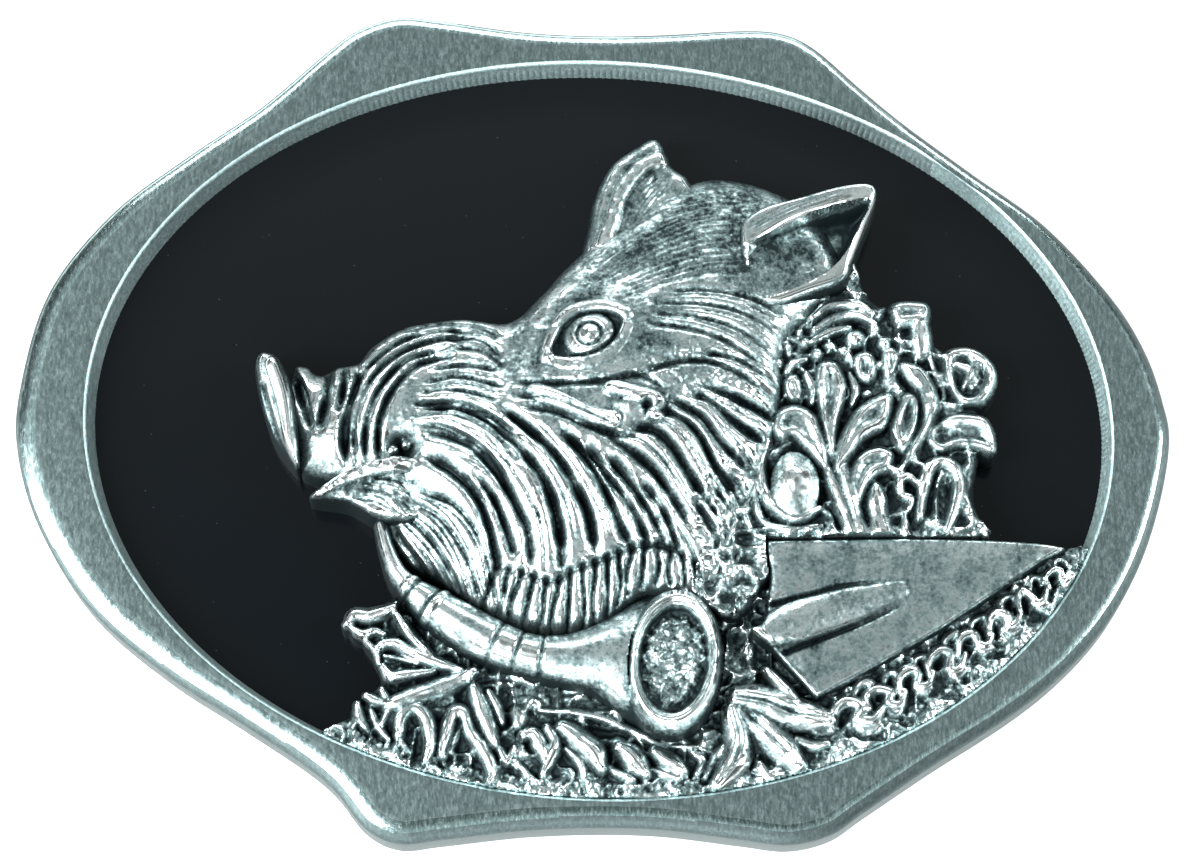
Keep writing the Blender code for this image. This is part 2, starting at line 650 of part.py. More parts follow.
def casting(pewter, parts, cutters):
    """Frame, floor, relief and the two back lugs, poured as one piece."""
    body = tray(pewter, parts)
    relief = relief_block("relief_block", 0, None, (BACK_Z + FLOOR_Z) / 2, pewter, cutters)
    as_helper(relief)
    boolean(body, relief, "UNION")
    for name, side in (("lug_top", 1), ("lug_bottom", -1)):
        lug = lug_block(name, side, pewter, cutters)
        as_helper(lug)
        boolean(body, lug, "UNION")
        bpy.ops.mesh.primitive_cylinder_add(
            vertices=2 * WIRE_SIDES,
            radius=BORE_RADIUS,
            depth=3 * LUG_LENGTH,
            location=(LOOP_X, side * lug_centre(), PIN_Z),
            rotation=(math.pi / 2, 0, 0),
        )
        bore = bpy.context.object
        bore.name = name + "_bore"
        move_to(bore, cutters)
        as_helper(bore)
        boolean(body, bore, "DIFFERENCE")
    return body


def enamel(black, parts, cutters):
    """The black fill in the oval, clear of the frame, the floor and the relief by GAP."""
    edge = inset(in_metres(oval_line()), WALL_DRAFT + GAP)
    rings = [ring_at(edge, FLOOR_Z + GAP), ring_at(edge, ENAMEL_Z)]
    fill = lofted("enamel", rings, black, parts)
    top = ENAMEL_Z + FACE_RISE
    clear = relief_block("relief_clearance", GAP / SCALE, top, BACK_Z, black, cutters)
    as_helper(clear)
    boolean(fill, clear, "DIFFERENCE")
    return fill


def loop(steel, parts):
    """The wire loop: it turns in the lugs, and at rest its far bar lies on the table."""
    pivot = bpy.data.objects.new("loop_pivot", None)
    pivot.location = (LOOP_X, 0, PIN_Z)
    parts.objects.link(pivot)
    bar_x, bar_z = loop_bar()
    pivot.rotation_euler = (0, math.atan2(PIN_Z - bar_z, bar_x - LOOP_X), 0)
    side = loop_side()
    end = lug_centre() - LUG_LENGTH / 2 - GAP
    quarter = np.linspace(0, math.pi / 2, 5)
    near = [(LOOP_CORNER * (1 - math.sin(t)), side - LOOP_CORNER * (1 - math.cos(t))) for t in quarter]
    reach = LOOP_REACH
    far = [
        (reach - LOOP_CORNER * (1 - math.sin(t)), side - LOOP_CORNER * (1 - math.cos(t)))
        for t in quarter[::-1]
    ]
    half = [(0, end)] + near[::-1] + far[::-1]
    route = half + [(x, -y) for x, y in half[::-1]]
    data = bpy.data.curves.new("loop", "CURVE")
    data.dimensions = "3D"
    data.bevel_depth = PIN_RADIUS
    data.bevel_resolution = 2
    data.use_fill_caps = True
    line = data.splines.new("POLY")
    line.points.add(len(route) - 1)
    for point, (x, y) in zip(line.points, route):
        point.co = (x, y, 0, 1)
    wire = bpy.data.objects.new("belt_loop", data)
    wire.data.materials.append(steel)
    wire.parent = pivot
    parts.objects.link(wire)
    return wire


def hook(steel, parts):
    """The hook stud: a flange against the back, a shank and a head that the belt's hole passes over."""
    top = BACK_Z - GAP
    profile = [
        (0, top),
        (HOOK_FLANGE / 2, top),
        (HOOK_FLANGE / 2, top - HOOK_FLANGE_THICKNESS),
        (HOOK_SHANK / 2, top - HOOK_FLANGE_THICKNESS),
        (HOOK_SHANK / 2, HOOK_HEAD_THICKNESS),
        (HOOK_HEAD / 2, HOOK_HEAD_THICKNESS),
        (HOOK_HEAD / 2, HOOK_HEAD_THICKNESS / 3),
        (HOOK_HEAD / 2 - HOOK_HEAD_THICKNESS / 3, 0),
        (0, 0),
    ]
    vertices = [(r, 0, z) for r, z in profile]
    edges = [(i, i + 1) for i in range(len(profile) - 1)]
    mesh = bpy.data.meshes.new("belt_hook")
    mesh.from_pydata(vertices, edges, [])
    stud = bpy.data.objects.new("belt_hook", mesh)
    stud.location = (HOOK_X, 0, 0)
    stud.data.materials.append(steel)
    turned = stud.modifiers.new("turned", "SCREW")
    turned.steps = turned.render_steps = 24
    turned.use_merge_vertices = True
    turned.merge_threshold = 1e-5
    parts.objects.link(stud)
    return stud


def metal(name, colour, roughness):
    made = bpy.data.materials.new(name)
    made.use_nodes = True
    shader = made.node_tree.nodes["Principled BSDF"]
    shader.inputs["Base Color"].default_value = (*colour, 1)
    shader.inputs["Metallic"].default_value = 1
    shader.inputs["Roughness"].default_value = roughness
    return made


def glassy(name, colour, roughness):
    made = metal(name, colour, roughness)
    made.node_tree.nodes["Principled BSDF"].inputs["Metallic"].default_value = 0
    return made


def build():
    for existing in list(bpy.data.objects):
        bpy.data.objects.remove(existing)
    parts = bpy.data.collections.new("boar_buckle")
    cutters = bpy.data.collections.new("helpers")
    for collection in (parts, cutters):
        bpy.context.scene.collection.children.link(collection)
    pewter = metal("pewter", (0.44, 0.48, 0.46), 0.32)
    black = glassy("black_enamel", (0.008, 0.012, 0.017), 0.06)
    steel = metal("steel", (0.50, 0.50, 0.49), 0.28)
    casting(pewter, parts, cutters)
    enamel(black, parts, cutters)
    loop(steel, parts)
    hook(steel, parts)


build()
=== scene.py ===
# %% [markdown]
# # A boar's head belt buckle
# The real object is a small plate of cast pewter, about nine centimetres wide. A frame with four corners
# holds an oval ground of black enamel, and a boar's head, a hunting horn, a spearhead and oak leaves
# stand up from it in relief. Castings like this are blackened all over and then polished, so the high
# places shine and every furrow stays dark. Most of this file is about those furrows.
#
# The picture on the face was drawn over a photograph. Points are kept as the photograph's own pixels, and
# one function puts them on the plate at the height where they were seen.

# %% The frame of solids that everything is built around
import math

import bmesh
import bpy
import numpy as np
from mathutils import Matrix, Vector


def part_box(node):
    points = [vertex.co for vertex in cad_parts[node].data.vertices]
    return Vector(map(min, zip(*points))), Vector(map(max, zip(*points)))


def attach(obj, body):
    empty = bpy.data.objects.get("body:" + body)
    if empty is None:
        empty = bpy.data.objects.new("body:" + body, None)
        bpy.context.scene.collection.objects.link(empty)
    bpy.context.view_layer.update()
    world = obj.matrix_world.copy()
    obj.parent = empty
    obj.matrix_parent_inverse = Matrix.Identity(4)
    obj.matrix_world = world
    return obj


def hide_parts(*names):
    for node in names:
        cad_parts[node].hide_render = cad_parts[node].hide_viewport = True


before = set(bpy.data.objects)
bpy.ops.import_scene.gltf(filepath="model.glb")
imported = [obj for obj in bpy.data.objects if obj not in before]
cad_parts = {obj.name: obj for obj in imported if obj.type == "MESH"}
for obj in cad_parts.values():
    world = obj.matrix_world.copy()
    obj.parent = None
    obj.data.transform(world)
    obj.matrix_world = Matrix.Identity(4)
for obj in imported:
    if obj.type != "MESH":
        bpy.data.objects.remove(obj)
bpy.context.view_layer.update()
casting_low, casting_high = (np.array(corner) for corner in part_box("casting"))
enamel_low, enamel_high = (np.array(corner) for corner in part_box("enamel"))
hook_low, hook_high = (np.array(corner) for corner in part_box("belt_hook"))
ENAMEL_Z = enamel_high[2]
FACE_RISE = 0.0019
FACE_Z = ENAMEL_Z + FACE_RISE
PLATE_THICKNESS = 0.0042
BACK_Z = FACE_Z - PLATE_THICKNESS
WIDTH = casting_high[0] - casting_low[0]
print("plate", round(WIDTH * 1000, 1), "mm wide, enamel at", round(ENAMEL_Z * 1000, 2), "mm")

# %% [markdown]
# ## From picture to plate
# The photograph was taken from a little below the middle, so a point that stands high on the relief is
# seen shifted towards the top. A line of sight through the pixel is cut with the level of the point
# instead. The unit there is the drawn millimetre, and the width of the solid frame turns it into metres.

# %% Line of sight through a pixel
PICTURE_SIZE = (1184, 864)
LENS_PIXELS = 3830.0
VIEW_DISTANCE = 300.0
VIEW_TILT = math.radians(17.0)
FACE_LEVEL = 1.9


def drawn(points, lift=FACE_LEVEL):
    """Ray through each pixel, cut with the plane at height lift above the enamel: x and y in drawn mm."""
    points = np.asarray(points, float)
    across = (points[..., 0] - PICTURE_SIZE[0] / 2) / LENS_PIXELS
    up = (PICTURE_SIZE[1] / 2 - points[..., 1]) / LENS_PIXELS
    drop = np.asarray(lift, float) - FACE_LEVEL
    sine, cosine = math.sin(VIEW_TILT), math.cos(VIEW_TILT)
    y = (up * (VIEW_DISTANCE - drop * cosine) - drop * sine) / (cosine - up * sine)
    x = across * (VIEW_DISTANCE + y * sine - drop * cosine)
    return np.stack([x, y], axis=-1)


PITCH = VIEW_DISTANCE / LENS_PIXELS
print("one pixel is", round(PITCH, 4), "drawn mm near the middle of the plate")

# %% [markdown]
# ## Curves and distances
# Three small tools carry the whole relief. A Catmull-Rom spline makes a smooth line of a few chosen
# points. The distance to such a line gives furrows, ridges and rolled edges. The distance to a closed
# line, with a sign, says how deep inside a figure a place is.

# %% Smooth lines


def smooth_line(points, closed=False, steps=8):
    """Catmull-Rom: each stretch is the cubic through its ends, sloped as half the chord round each end."""
    points = np.asarray(points, float)
    if closed:
        start, before = points, np.roll(points, 1, 0)
        after, end = np.roll(points, -1, 0), np.roll(points, -2, 0)
    else:
        padded = np.vstack([2 * points[0] - points[1], points, 2 * points[-1] - points[-2]])
        before, start, after, end = padded[:-3], padded[1:-2], padded[2:-1], padded[3:]
    t = np.linspace(0, 1, steps, endpoint=False)[None, :, None]
    before, start, after, end = (part[:, None, :] for part in (before, start, after, end))
    curve = 0.5 * (
        2 * start
        + (after - before) * t
        + (2 * before - 5 * start + 4 * after - end) * t**2
        + (3 * start - before - 3 * after + end) * t**3
    )
    curve = curve.reshape(-1, points.shape[1])
    return curve if closed else np.vstack([curve, points[-1]])


square = smooth_line([(0, 0), (1, 0), (1, 1), (0, 1)], closed=True)
print("four corners make a smooth loop of", len(square), "points")

# %% Distance to a line and depth inside an outline
FAR = 1000.0


def nearest_on(line, where, closed=False, reach=None):
    """Least distance from each place to the line's segments, and the share of the line's length there.
    With reach, places farther than that from the line's box are given the distance FAR."""
    gap = np.full(len(where), FAR)
    along = np.zeros(len(where))
    if reach is None:
        chosen = np.arange(len(where))
    else:
        low, high = line.min(0) - reach, line.max(0) + reach
        chosen = np.nonzero(((where > low) & (where < high)).all(1))[0]
    if not len(chosen):
        return gap, along
    start = line if closed else line[:-1]
    run = (np.roll(line, -1, 0) if closed else line[1:]) - start
    length = np.maximum(np.hypot(run[:, 0], run[:, 1]), 1e-9)
    travelled = np.concatenate([[0], np.cumsum(length)])
    best = np.full(len(chosen), FAR)
    share = np.zeros(len(chosen))
    for i in range(len(start)):
        offset = where[chosen] - start[i]
        t = np.clip(offset @ run[i] / length[i] ** 2, 0, 1)
        distance = np.hypot(offset[:, 0] - t * run[i, 0], offset[:, 1] - t * run[i, 1])
        nearer = distance < best
        best[nearer] = distance[nearer]
        share[nearer] = (travelled[i] + t[nearer] * length[i]) / travelled[-1]
    gap[chosen], along[chosen] = best, share
    return gap, along


def depth_inside(outline, where, reach=None):
    """Distance to a closed outline, positive inside, by counting how often a level line crosses it."""
    inside = np.zeros(len(where), bool)
    following = np.roll(outline, -1, 0)
    for start, end in zip(outline, following):
        if start[1] == end[1]:
            continue
        crosses = (start[1] > where[:, 1]) != (end[1] > where[:, 1])
        hit = start[0] + (where[:, 1] - start[1]) / (end[1] - start[1]) * (end[0] - start[0])
        inside ^= crosses & (where[:, 0] < hit)
    return np.where(inside, 1, -1) * nearest_on(outline, where, True, reach)[0]


middle_depth = depth_inside(square, np.array([[0.5, 0.5]]))[0]
print("the middle of that loop lies", round(float(middle_depth), 3), "inside it")

# %% Edge profiles and noise
LATTICE = 64


def round_over(distance, width):
    """Quarter circle: 0 at the edge and 1 from width inwards."""
    share = np.clip(distance / width, 0, 1)
    return np.sqrt(1 - (1 - share) ** 2)


def hump(distance, width):
    """Half ellipse across a ridge: 1 on its line and 0 at width."""
    return np.sqrt(np.clip(1 - (distance / width) ** 2, 0, 1))


def bell_curve(distance, width, power=2):
    """e to the minus (distance over width) to a power: 1 on the line, about a third at width."""
    return np.exp(-((distance / width) ** power))


def grain(where, size, seed):
    """Value noise: a random height at each corner of a square lattice, blended with a smooth step."""
    table = np.random.default_rng(seed).random((LATTICE, LATTICE))
    cell = where / size
    corner = np.floor(cell).astype(int)
    part = cell - corner
    blend = part * part * (3 - 2 * part)
    x, y = corner[:, 0] % LATTICE, corner[:, 1] % LATTICE
    right, above = (x + 1) % LATTICE, (y + 1) % LATTICE
    low = table[y, x] * (1 - blend[:, 0]) + table[y, right] * blend[:, 0]
    high = table[above, x] * (1 - blend[:, 0]) + table[above, right] * blend[:, 0]
    return low * (1 - blend[:, 1]) + high * blend[:, 1] - 0.5


def crests(where, size, seed):
    """Curling crest lines: 1 where the noise passes through 0, falling as its size grows."""
    return 1 - np.minimum(np.abs(grain(where, size, seed)) * 5, 1)


# %% [markdown]
# ## The plate's outlines
# The frame has four soft corners with shallow hollows between them, so its outline is a spline through
# the places where the curve turns. The oval is an ellipse, set very slightly askew as on the real
# casting.

# %% Frame outline and oval
FRAME_OUTLINE = [
    (1171, 440), (1164, 398), (1146, 348), (1112, 294), (1047, 224), (972, 170), (906, 122), (862, 86),
    (816, 46), (782, 30), (740, 27), (663, 31), (592, 32), (520, 28), (440, 17), (396, 14),
    (356, 27), (323, 51), (260, 104), (187, 153), (110, 211), (47, 290), (18, 386),
    (16, 452), (39, 528), (90, 608), (163, 671), (237, 719), (302, 762), (334, 789),
    (364, 826), (398, 842), (441, 838), (520, 829), (592, 826), (663, 828), (743, 838),
    (790, 843), (832, 833), (866, 810), (934, 764), (1009, 716), (1060, 676), (1104, 628), (1138, 570),
    (1160, 506),
]
OVAL_CENTRE = (598, 420)
OVAL_HALF = (40.2, 30.1)
OVAL_TURN = math.radians(-3.3)


def oval_line(steps):
    """Ellipse: half axes times cosine and sine, turned by OVAL_TURN about OVAL_CENTRE."""
    turn = np.linspace(0, 2 * math.pi, steps, endpoint=False)
    along, across = OVAL_HALF[0] * np.cos(turn), OVAL_HALF[1] * np.sin(turn)
    cosine, sine = math.cos(OVAL_TURN), math.sin(OVAL_TURN)
    turned = np.stack([along * cosine - across * sine, along * sine + across * cosine], -1)
    return turned + drawn(OVAL_CENTRE)


def frame_line(steps):
    """The outline's radius as a function of the angle from the oval's centre, read at the oval's angles."""
    curve = smooth_line(drawn(FRAME_OUTLINE), True, 24)
    centre = drawn(OVAL_CENTRE)
    angle = np.unwrap(np.arctan2(*(curve - centre).T[::-1]))
    radius = np.hypot(*(curve - centre).T)
    wanted = np.arctan2(*(oval_line(steps) - centre).T[::-1])
    wanted = angle[0] + (wanted - angle[0]) % (2 * math.pi)
    at = np.interp(wanted, np.append(angle, angle[0] + 2 * math.pi), np.append(radius, radius[0]))
    return centre + np.stack([at * np.cos(wanted), at * np.sin(wanted)], -1)


outline = frame_line(720)
CENTRE = (outline.min(0) + outline.max(0)) / 2
SCALE = WIDTH / (outline.max(0) - outline.min(0))[0]


def in_metres(where):
    return (where - CENTRE) * SCALE


print("one drawn millimetre is", round(SCALE * 1000, 4), "mm on the plate")

# %% [markdown]
# ## Materials
# Four finishes cover the buckle. Antiqued pewter is grey metal whose recesses keep a black patina: an
# attribute on the mesh, called hollow, says how far each point lies below its surroundings. Brushed
# pewter is the same metal under fine parallel scratches. The enamel is a black gloss resin, and the loop
# and the hook are plain steel wire.
#
# A photograph laid over the mesh would carry its own light along. Patterns worked out in the shader stay
# sharp from any side, so each finish is built from noise whose grains have a real size in millimetres.

# %% Helpers for shaders


def colour(text):
    """A hex colour, as seen on a screen, turned to linear light."""
    parts = [int(text[i : i + 2], 16) / 255 for i in (1, 3, 5)]
    return [p / 12.92 if p <= 0.04045 else ((p + 0.055) / 1.055) ** 2.4 for p in parts] + [1]


def grey(level):
    """A value such as a roughness, as the colour that a ramp hands on."""
    return [level, level, level, 1]


def add(tree, kind, links=(), stops=(), **values):
    """One node: values set its own properties, or its sockets by name or identifier, links join (output,
    input) pairs, and stops are the places and colours of a ramp."""
    node = tree.nodes.new(kind)
    for name, value in values.items():
        socket = next((s for s in node.inputs if name in (s.name.replace(" ", "_"), s.identifier)), None)
        if socket is None:
            setattr(node, name, value)
        else:
            socket.default_value = value
    for source, target in links:
        tree.links.new(source, node.inputs[target])
    for _ in stops[2:]:
        node.color_ramp.elements.new(1)
    for k, (place, shade) in enumerate(stops):
        node.color_ramp.elements[k].position = place
        node.color_ramp.elements[k].color = shade
    return node


def new_material(name):
    made = bpy.data.materials.new(name)
    made.use_nodes = True
    return made, made.node_tree, made.node_tree.nodes["Principled BSDF"]


# %% [markdown]
# ### Antiqued pewter
# Cast pewter is a soft grey metal with a touch of green. After casting it is blackened and then buffed,
# so the tops are bright and smooth and the furrows stay near black and dull. The attribute decides
# between the two, and noise breaks the border up, as hand polishing does: small specks from the casting's
# skin, and larger clouds where the patina held.

# %% Antiqued pewter
BUFFING_MM = 0.64
CAST_SPECK_MM = 0.30
PATINA_MM = 2.6
SPECK_SHARE = 0.55
PATINA_SHARE = 1.6
STAIN_FROM, STAIN_TO = 0.9, 2.0
STAIN_TONES = [(1.22, "#eef5f5"), (1.44, "#b4c3c4"), (1.58, "#6e8081"), (1.80, "#242e30")]
STAIN_ROUGHNESS = [(1.3, 0.20), (1.8, 0.60)]


def stain_place(value):
    """A sum of hollow and noises as a place on the ramp, whose own range is 0 to 1."""
    return (value - STAIN_FROM) / (STAIN_TO - STAIN_FROM)


def antiqued_pewter():
    """Hollow plus two noises, each times its share, picks the tone and the roughness."""
    made, tree, shader = new_material("antiqued_pewter")
    place = add(tree, "ShaderNodeTexCoord").outputs["Object"]
    at = [(place, "Vector")]
    hollow = add(tree, "ShaderNodeAttribute", attribute_name="hollow").outputs["Fac"]
    buffing = add(tree, "ShaderNodeTexNoise", at, Scale=1000 / BUFFING_MM, Detail=3.0)
    speck = add(tree, "ShaderNodeTexNoise", at, Scale=1000 / CAST_SPECK_MM, Detail=4.0)
    patina = add(tree, "ShaderNodeTexNoise", at, Scale=1000 / PATINA_MM, Detail=8.0, Roughness=0.85)
    total = hollow
    for noise, share in ((speck, SPECK_SHARE), (patina, PATINA_SHARE)):
        parts = [(noise.outputs[0], 0), (total, 2)]
        total = add(tree, "ShaderNodeMath", parts, operation="MULTIPLY_ADD", Value_001=share).outputs[0]
    stain = add(tree, "ShaderNodeMapRange", [(total, 0)], From_Min=STAIN_FROM, From_Max=STAIN_TO)
    tones = [(stain_place(value), colour(shade)) for value, shade in STAIN_TONES]
    shade = add(tree, "ShaderNodeValToRGB", [(stain.outputs[0], 0)], tones)
    levels = [(stain_place(value), grey(level)) for value, level in STAIN_ROUGHNESS]
    dull = add(tree, "ShaderNodeValToRGB", [(stain.outputs[0], 0)], levels)
    bump = add(tree, "ShaderNodeBump", [(buffing.outputs[0], "Height")], Strength=0.25, Distance=0.00003)
    tree.links.new(shade.outputs[0], shader.inputs["Base Color"])
    tree.links.new(dull.outputs[0], shader.inputs["Roughness"])
    tree.links.new(bump.outputs[0], shader.inputs["Normal"])
    shader.inputs["Metallic"].default_value = 1.0
    return made


# %% [markdown]
# ### Brushed pewter
# The frame's face was rubbed flat on a belt: short fine scratches run down the plate. They are noise
# stretched along Y, in the bump and in the roughness. Here and there a casting pit was left open. The
# real scratches are finer than a pixel, so they are drawn just coarse enough to show as a grain.
#
# The same metal serves for the frame's other faces. The side is blackened and barely rubbed; carried up
# the right bevel, its dark colour is painted shade. The oval's wall has a lit copy of the metal, a painted
# highlight on the right, where it faces the light, and a shaded copy, painted shade, on the left. The rolled
# outer edge is polished by wear, and its lighter colour is a painted highlight.

# %% Brushed pewter
SCRATCH_MM = 0.195
SCRATCH_STRETCH = (1, 0.35, 1)
SCRATCH_SLANT = 0.12
CLOUD_MM = 6.25
PIT_MM = 1.1
PIT_COLOUR = "#2b3332"
PIT_EDGE = [(0.0, grey(1)), (0.10, grey(0))]
PIT_PLACES = [(0.56, grey(0)), (0.66, grey(1))]
PEWTER_TONES = [(0.30, "#6f8384"), (0.50, "#899d9e"), (0.70, "#abc0c1")]
PEWTER_ROUGHNESS = [(0.2, 0.32), (0.8, 0.48)]


def brushed_pewter(name, strength, bright, rough):
    """Scratched metal: strength deepens the scratches, bright scales its colour and rough adds to its
    roughness."""
    made, tree, shader = new_material(name)
    place = add(tree, "ShaderNodeTexCoord").outputs["Object"]
    turned = add(tree, "ShaderNodeMapping", [(place, "Vector")], Scale=SCRATCH_STRETCH)
    turned.inputs["Rotation"].default_value = (0, 0, SCRATCH_SLANT)
    along = [(turned.outputs[0], "Vector")]
    scratch = add(tree, "ShaderNodeTexNoise", along, Scale=1000 / SCRATCH_MM, Detail=5.0, Roughness=0.7)
    cloud = add(tree, "ShaderNodeTexNoise", [(place, "Vector")], Scale=1000 / CLOUD_MM, Detail=3.0)
    pits = add(tree, "ShaderNodeTexVoronoi", [(place, "Vector")], Scale=1000 / PIT_MM)
    open_pit = add(tree, "ShaderNodeValToRGB", [(pits.outputs["Distance"], 0)], PIT_EDGE)
    few = add(tree, "ShaderNodeValToRGB", [(cloud.outputs[0], 0)], PIT_PLACES)
    both = [(open_pit.outputs[0], 0), (few.outputs[0], 1)]
    pitted = add(tree, "ShaderNodeMath", both, operation="MULTIPLY")
    tones = [(at, [part * bright for part in colour(shade)[:3]] + [1]) for at, shade in PEWTER_TONES]
    tone = add(tree, "ShaderNodeValToRGB", [(scratch.outputs[0], 0)], tones)
    layers = [(pitted.outputs[0], 0), (tone.outputs[0], 6)]
    base = add(tree, "ShaderNodeMix", layers, data_type="RGBA", B_Color=colour(PIT_COLOUR))
    levels = [(at, grey(level + rough)) for at, level in PEWTER_ROUGHNESS]
    dull = add(tree, "ShaderNodeValToRGB", [(scratch.outputs[0], 0)], levels)
    relief = [(scratch.outputs[0], 0), (pitted.outputs[0], 1)]
    height = add(tree, "ShaderNodeMath", relief, operation="SUBTRACT")
    bump = add(tree, "ShaderNodeBump", [(height.outputs[0], "Height")], Strength=strength, Distance=0.00004)
    tree.links.new(base.outputs[2], shader.inputs["Base Color"])
    tree.links.new(dull.outputs[0], shader.inputs["Roughness"])
    tree.links.new(bump.outputs[0], shader.inputs["Normal"])
    shader.inputs["Metallic"].default_value = 1.0
    return made


# %% [markdown]
# ### Black enamel
# The ground is cold enamel, a poured black resin with a faint blue cast and a high gloss. It is a
# dielectric, so what the eye sees of it is mostly the room mirrored in it. A few specks of dust settled
# in it as it set, and its surface swells very slightly.

# %% Black enamel
DUST_MM = 10 / 7
DUST_TONES = [(0.0, colour("#3c464c")), (0.04, colour("#05080b"))]
SWELL_MM = 25 / 3


def black_enamel():
    made, tree, shader = new_material("black_enamel")
    at = [(add(tree, "ShaderNodeTexCoord").outputs["Object"], "Vector")]
    dust = add(tree, "ShaderNodeTexVoronoi", at, Scale=1000 / DUST_MM)
    speck = add(tree, "ShaderNodeValToRGB", [(dust.outputs["Distance"], 0)], DUST_TONES)
    swell = add(tree, "ShaderNodeTexNoise", at, Scale=1000 / SWELL_MM, Detail=1.0)
    bump = add(tree, "ShaderNodeBump", [(swell.outputs[0], "Height")], Strength=0.08, Distance=0.0001)
    tree.links.new(speck.outputs[0], shader.inputs["Base Color"])
    tree.links.new(bump.outputs[0], shader.inputs["Normal"])
    shader.inputs["Roughness"].default_value = 0.12
    shader.inputs["IOR"].default_value = 1.38
    return made


# %% [markdown]
# ### Satin steel
# The loop and the hook are drawn steel wire and turned steel bar: even and satin, with faint marks, a
# little whiter than the pewter. One noise changes both the tone and the roughness.

# %% Satin steel
WIRE_MARK_MM = 0.4
STEEL_TONES = [(0.3, colour("#a4a6a5")), (0.7, colour("#c6c8c6"))]
STEEL_ROUGHNESS = [(0.3, grey(0.24)), (0.7, grey(0.36))]


def satin_steel():
    made, tree, shader = new_material("satin_steel")
    at = [(add(tree, "ShaderNodeTexCoord").outputs["Object"], "Vector")]
    marks = add(tree, "ShaderNodeTexNoise", at, Scale=1000 / WIRE_MARK_MM, Detail=3.0)
    tone = add(tree, "ShaderNodeValToRGB", [(marks.outputs[0], 0)], STEEL_TONES)
    dull = add(tree, "ShaderNodeValToRGB", [(marks.outputs[0], 0)], STEEL_ROUGHNESS)
    tree.links.new(tone.outputs[0], shader.inputs["Base Color"])
    tree.links.new(dull.outputs[0], shader.inputs["Roughness"])
    shader.inputs["Metallic"].default_value = 1.0
    return made


# %% The finishes in use
relief_finish = antiqued_pewter()
frame_finish = brushed_pewter("brushed_pewter", strength=0.45, bright=0.62, rough=-0.02)
# blackened side; the same dark finish carried up the right bevel is painted shade
side_patina_and_shade_finish = brushed_pewter("patinated_side", strength=0.20, bright=0.28, rough=0.15)
# painted highlight: a lighter copy of the metal for the wall's lit right end and the rounding above it
painted_highlight_wall_finish = brushed_pewter("bright_wall", strength=0.5, bright=1.55, rough=0.16)
# painted shade: a darker copy of the same metal for the wall's shaded left and top
painted_shade_wall_finish = brushed_pewter("patinated_wall", strength=0.8, bright=0.85, rough=0.20)
# polished by wear, so smoother, and its lighter colour is a painted highlight on the rolled edge
edge_polish_and_highlight_finish = brushed_pewter("polished_edge", strength=0.12, bright=1.5, rough=-0.18)
enamel_finish = black_enamel()
steel_finish = satin_steel()
print("finishes:", ", ".join(made.name for made in bpy.data.materials))

# %% [markdown]
# ## Meshes from arrays
# Two makers turn arrays into objects. One skins rings of equal count, as a lathe or a sweep would. The
# other lays a square grid over a figure, keeps the cells inside its outline, pulls the rim's points onto
# the outline and lifts the rest by a height function, then drops a wall and closes the underside.

# %% Objects from vertices and faces


def new_object(name, vertices, faces, material):
    """A mesh of the arrays in an object at the origin, shaded smooth."""
    mesh = bpy.data.meshes.new(name)
    mesh.from_pydata(np.asarray(vertices, float).tolist(), [], faces)
    mesh.materials.append(material)
    made = bpy.data.objects.new(name, mesh)
    bpy.context.scene.collection.objects.link(made)
    mesh.update()
    mesh.shade_smooth()
    return made


def stood_up(made, node, body="plate", sharp=50):
    """Finish a piece: sharp edges by angle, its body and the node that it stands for."""
    made.data.set_sharp_from_angle(angle=math.radians(sharp))
    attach(made, body)
    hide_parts(node)
    triangles = sum(len(p.vertices) - 2 for p in made.data.polygons)
    print(made.name, triangles, "triangles")
    return made


def skinned(rings):
    """Rings of n points each, in order: quads between neighbours, and a flat face on either end."""
    rings = np.asarray(rings, float)
    rows, count = rings.shape[:2]
    grid = np.arange(rows * count).reshape(rows, count)
    right = np.roll(grid, -1, 1)
    faces = np.stack([grid[:-1], right[:-1], right[1:], grid[1:]], -1).reshape(-1, 4).tolist()
    faces += [grid[0][::-1].tolist(), grid[-1].tolist()]
    return rings.reshape(-1, 3), faces


# %% The cells of a figure, and a blur that says what lies around
JOIN_PASSES = 6
BLUR_PASSES = 3


def cells_inside(points, shape, footprint):
    """Cells whose middle lies inside; where two filled cells meet only at a corner, a third joins them."""
    rows, columns = shape
    grid = points.reshape(rows + 1, columns + 1, 2)
    middles = (grid[:-1, :-1] + grid[1:, 1:]) / 2
    filled = (footprint(middles.reshape(-1, 2)) > 0).reshape(rows, columns)
    for _ in range(JOIN_PASSES):
        rising = filled[:-1, :-1] & filled[1:, 1:] & ~filled[:-1, 1:] & ~filled[1:, :-1]
        falling = filled[:-1, 1:] & filled[1:, :-1] & ~filled[:-1, :-1] & ~filled[1:, 1:]
        filled[:-1, 1:] |= rising
        filled[:-1, :-1] |= falling
    return filled


def blurred(values, known, radius):
    """A few running means each way, counting only the known cells: close to a Gaussian blur."""

    def mean(array):
        for axis in (0, 1):
            for _ in range(BLUR_PASSES):
                padded = np.pad(array, [(radius + 1, radius) if a == axis else (0, 0) for a in (0, 1)])
                total = np.cumsum(padded, axis)
                size = array.shape[axis]
                after = np.take(total, np.arange(2 * radius + 1, 2 * radius + 1 + size), axis)
                array = after - np.take(total, np.arange(size), axis)
        return array

    weight = mean(known.astype(float))
    return mean(np.where(known, values, 0.0)) / np.maximum(weight, 1e-9)


# %% Raised figures on a grid
HOLLOW_REACH = 0.50
HOLLOW_DEPTH = 0.60
RIM_PASSES = 4
FLATTEST_SLOPE = 0.25
FOOT = -0.25


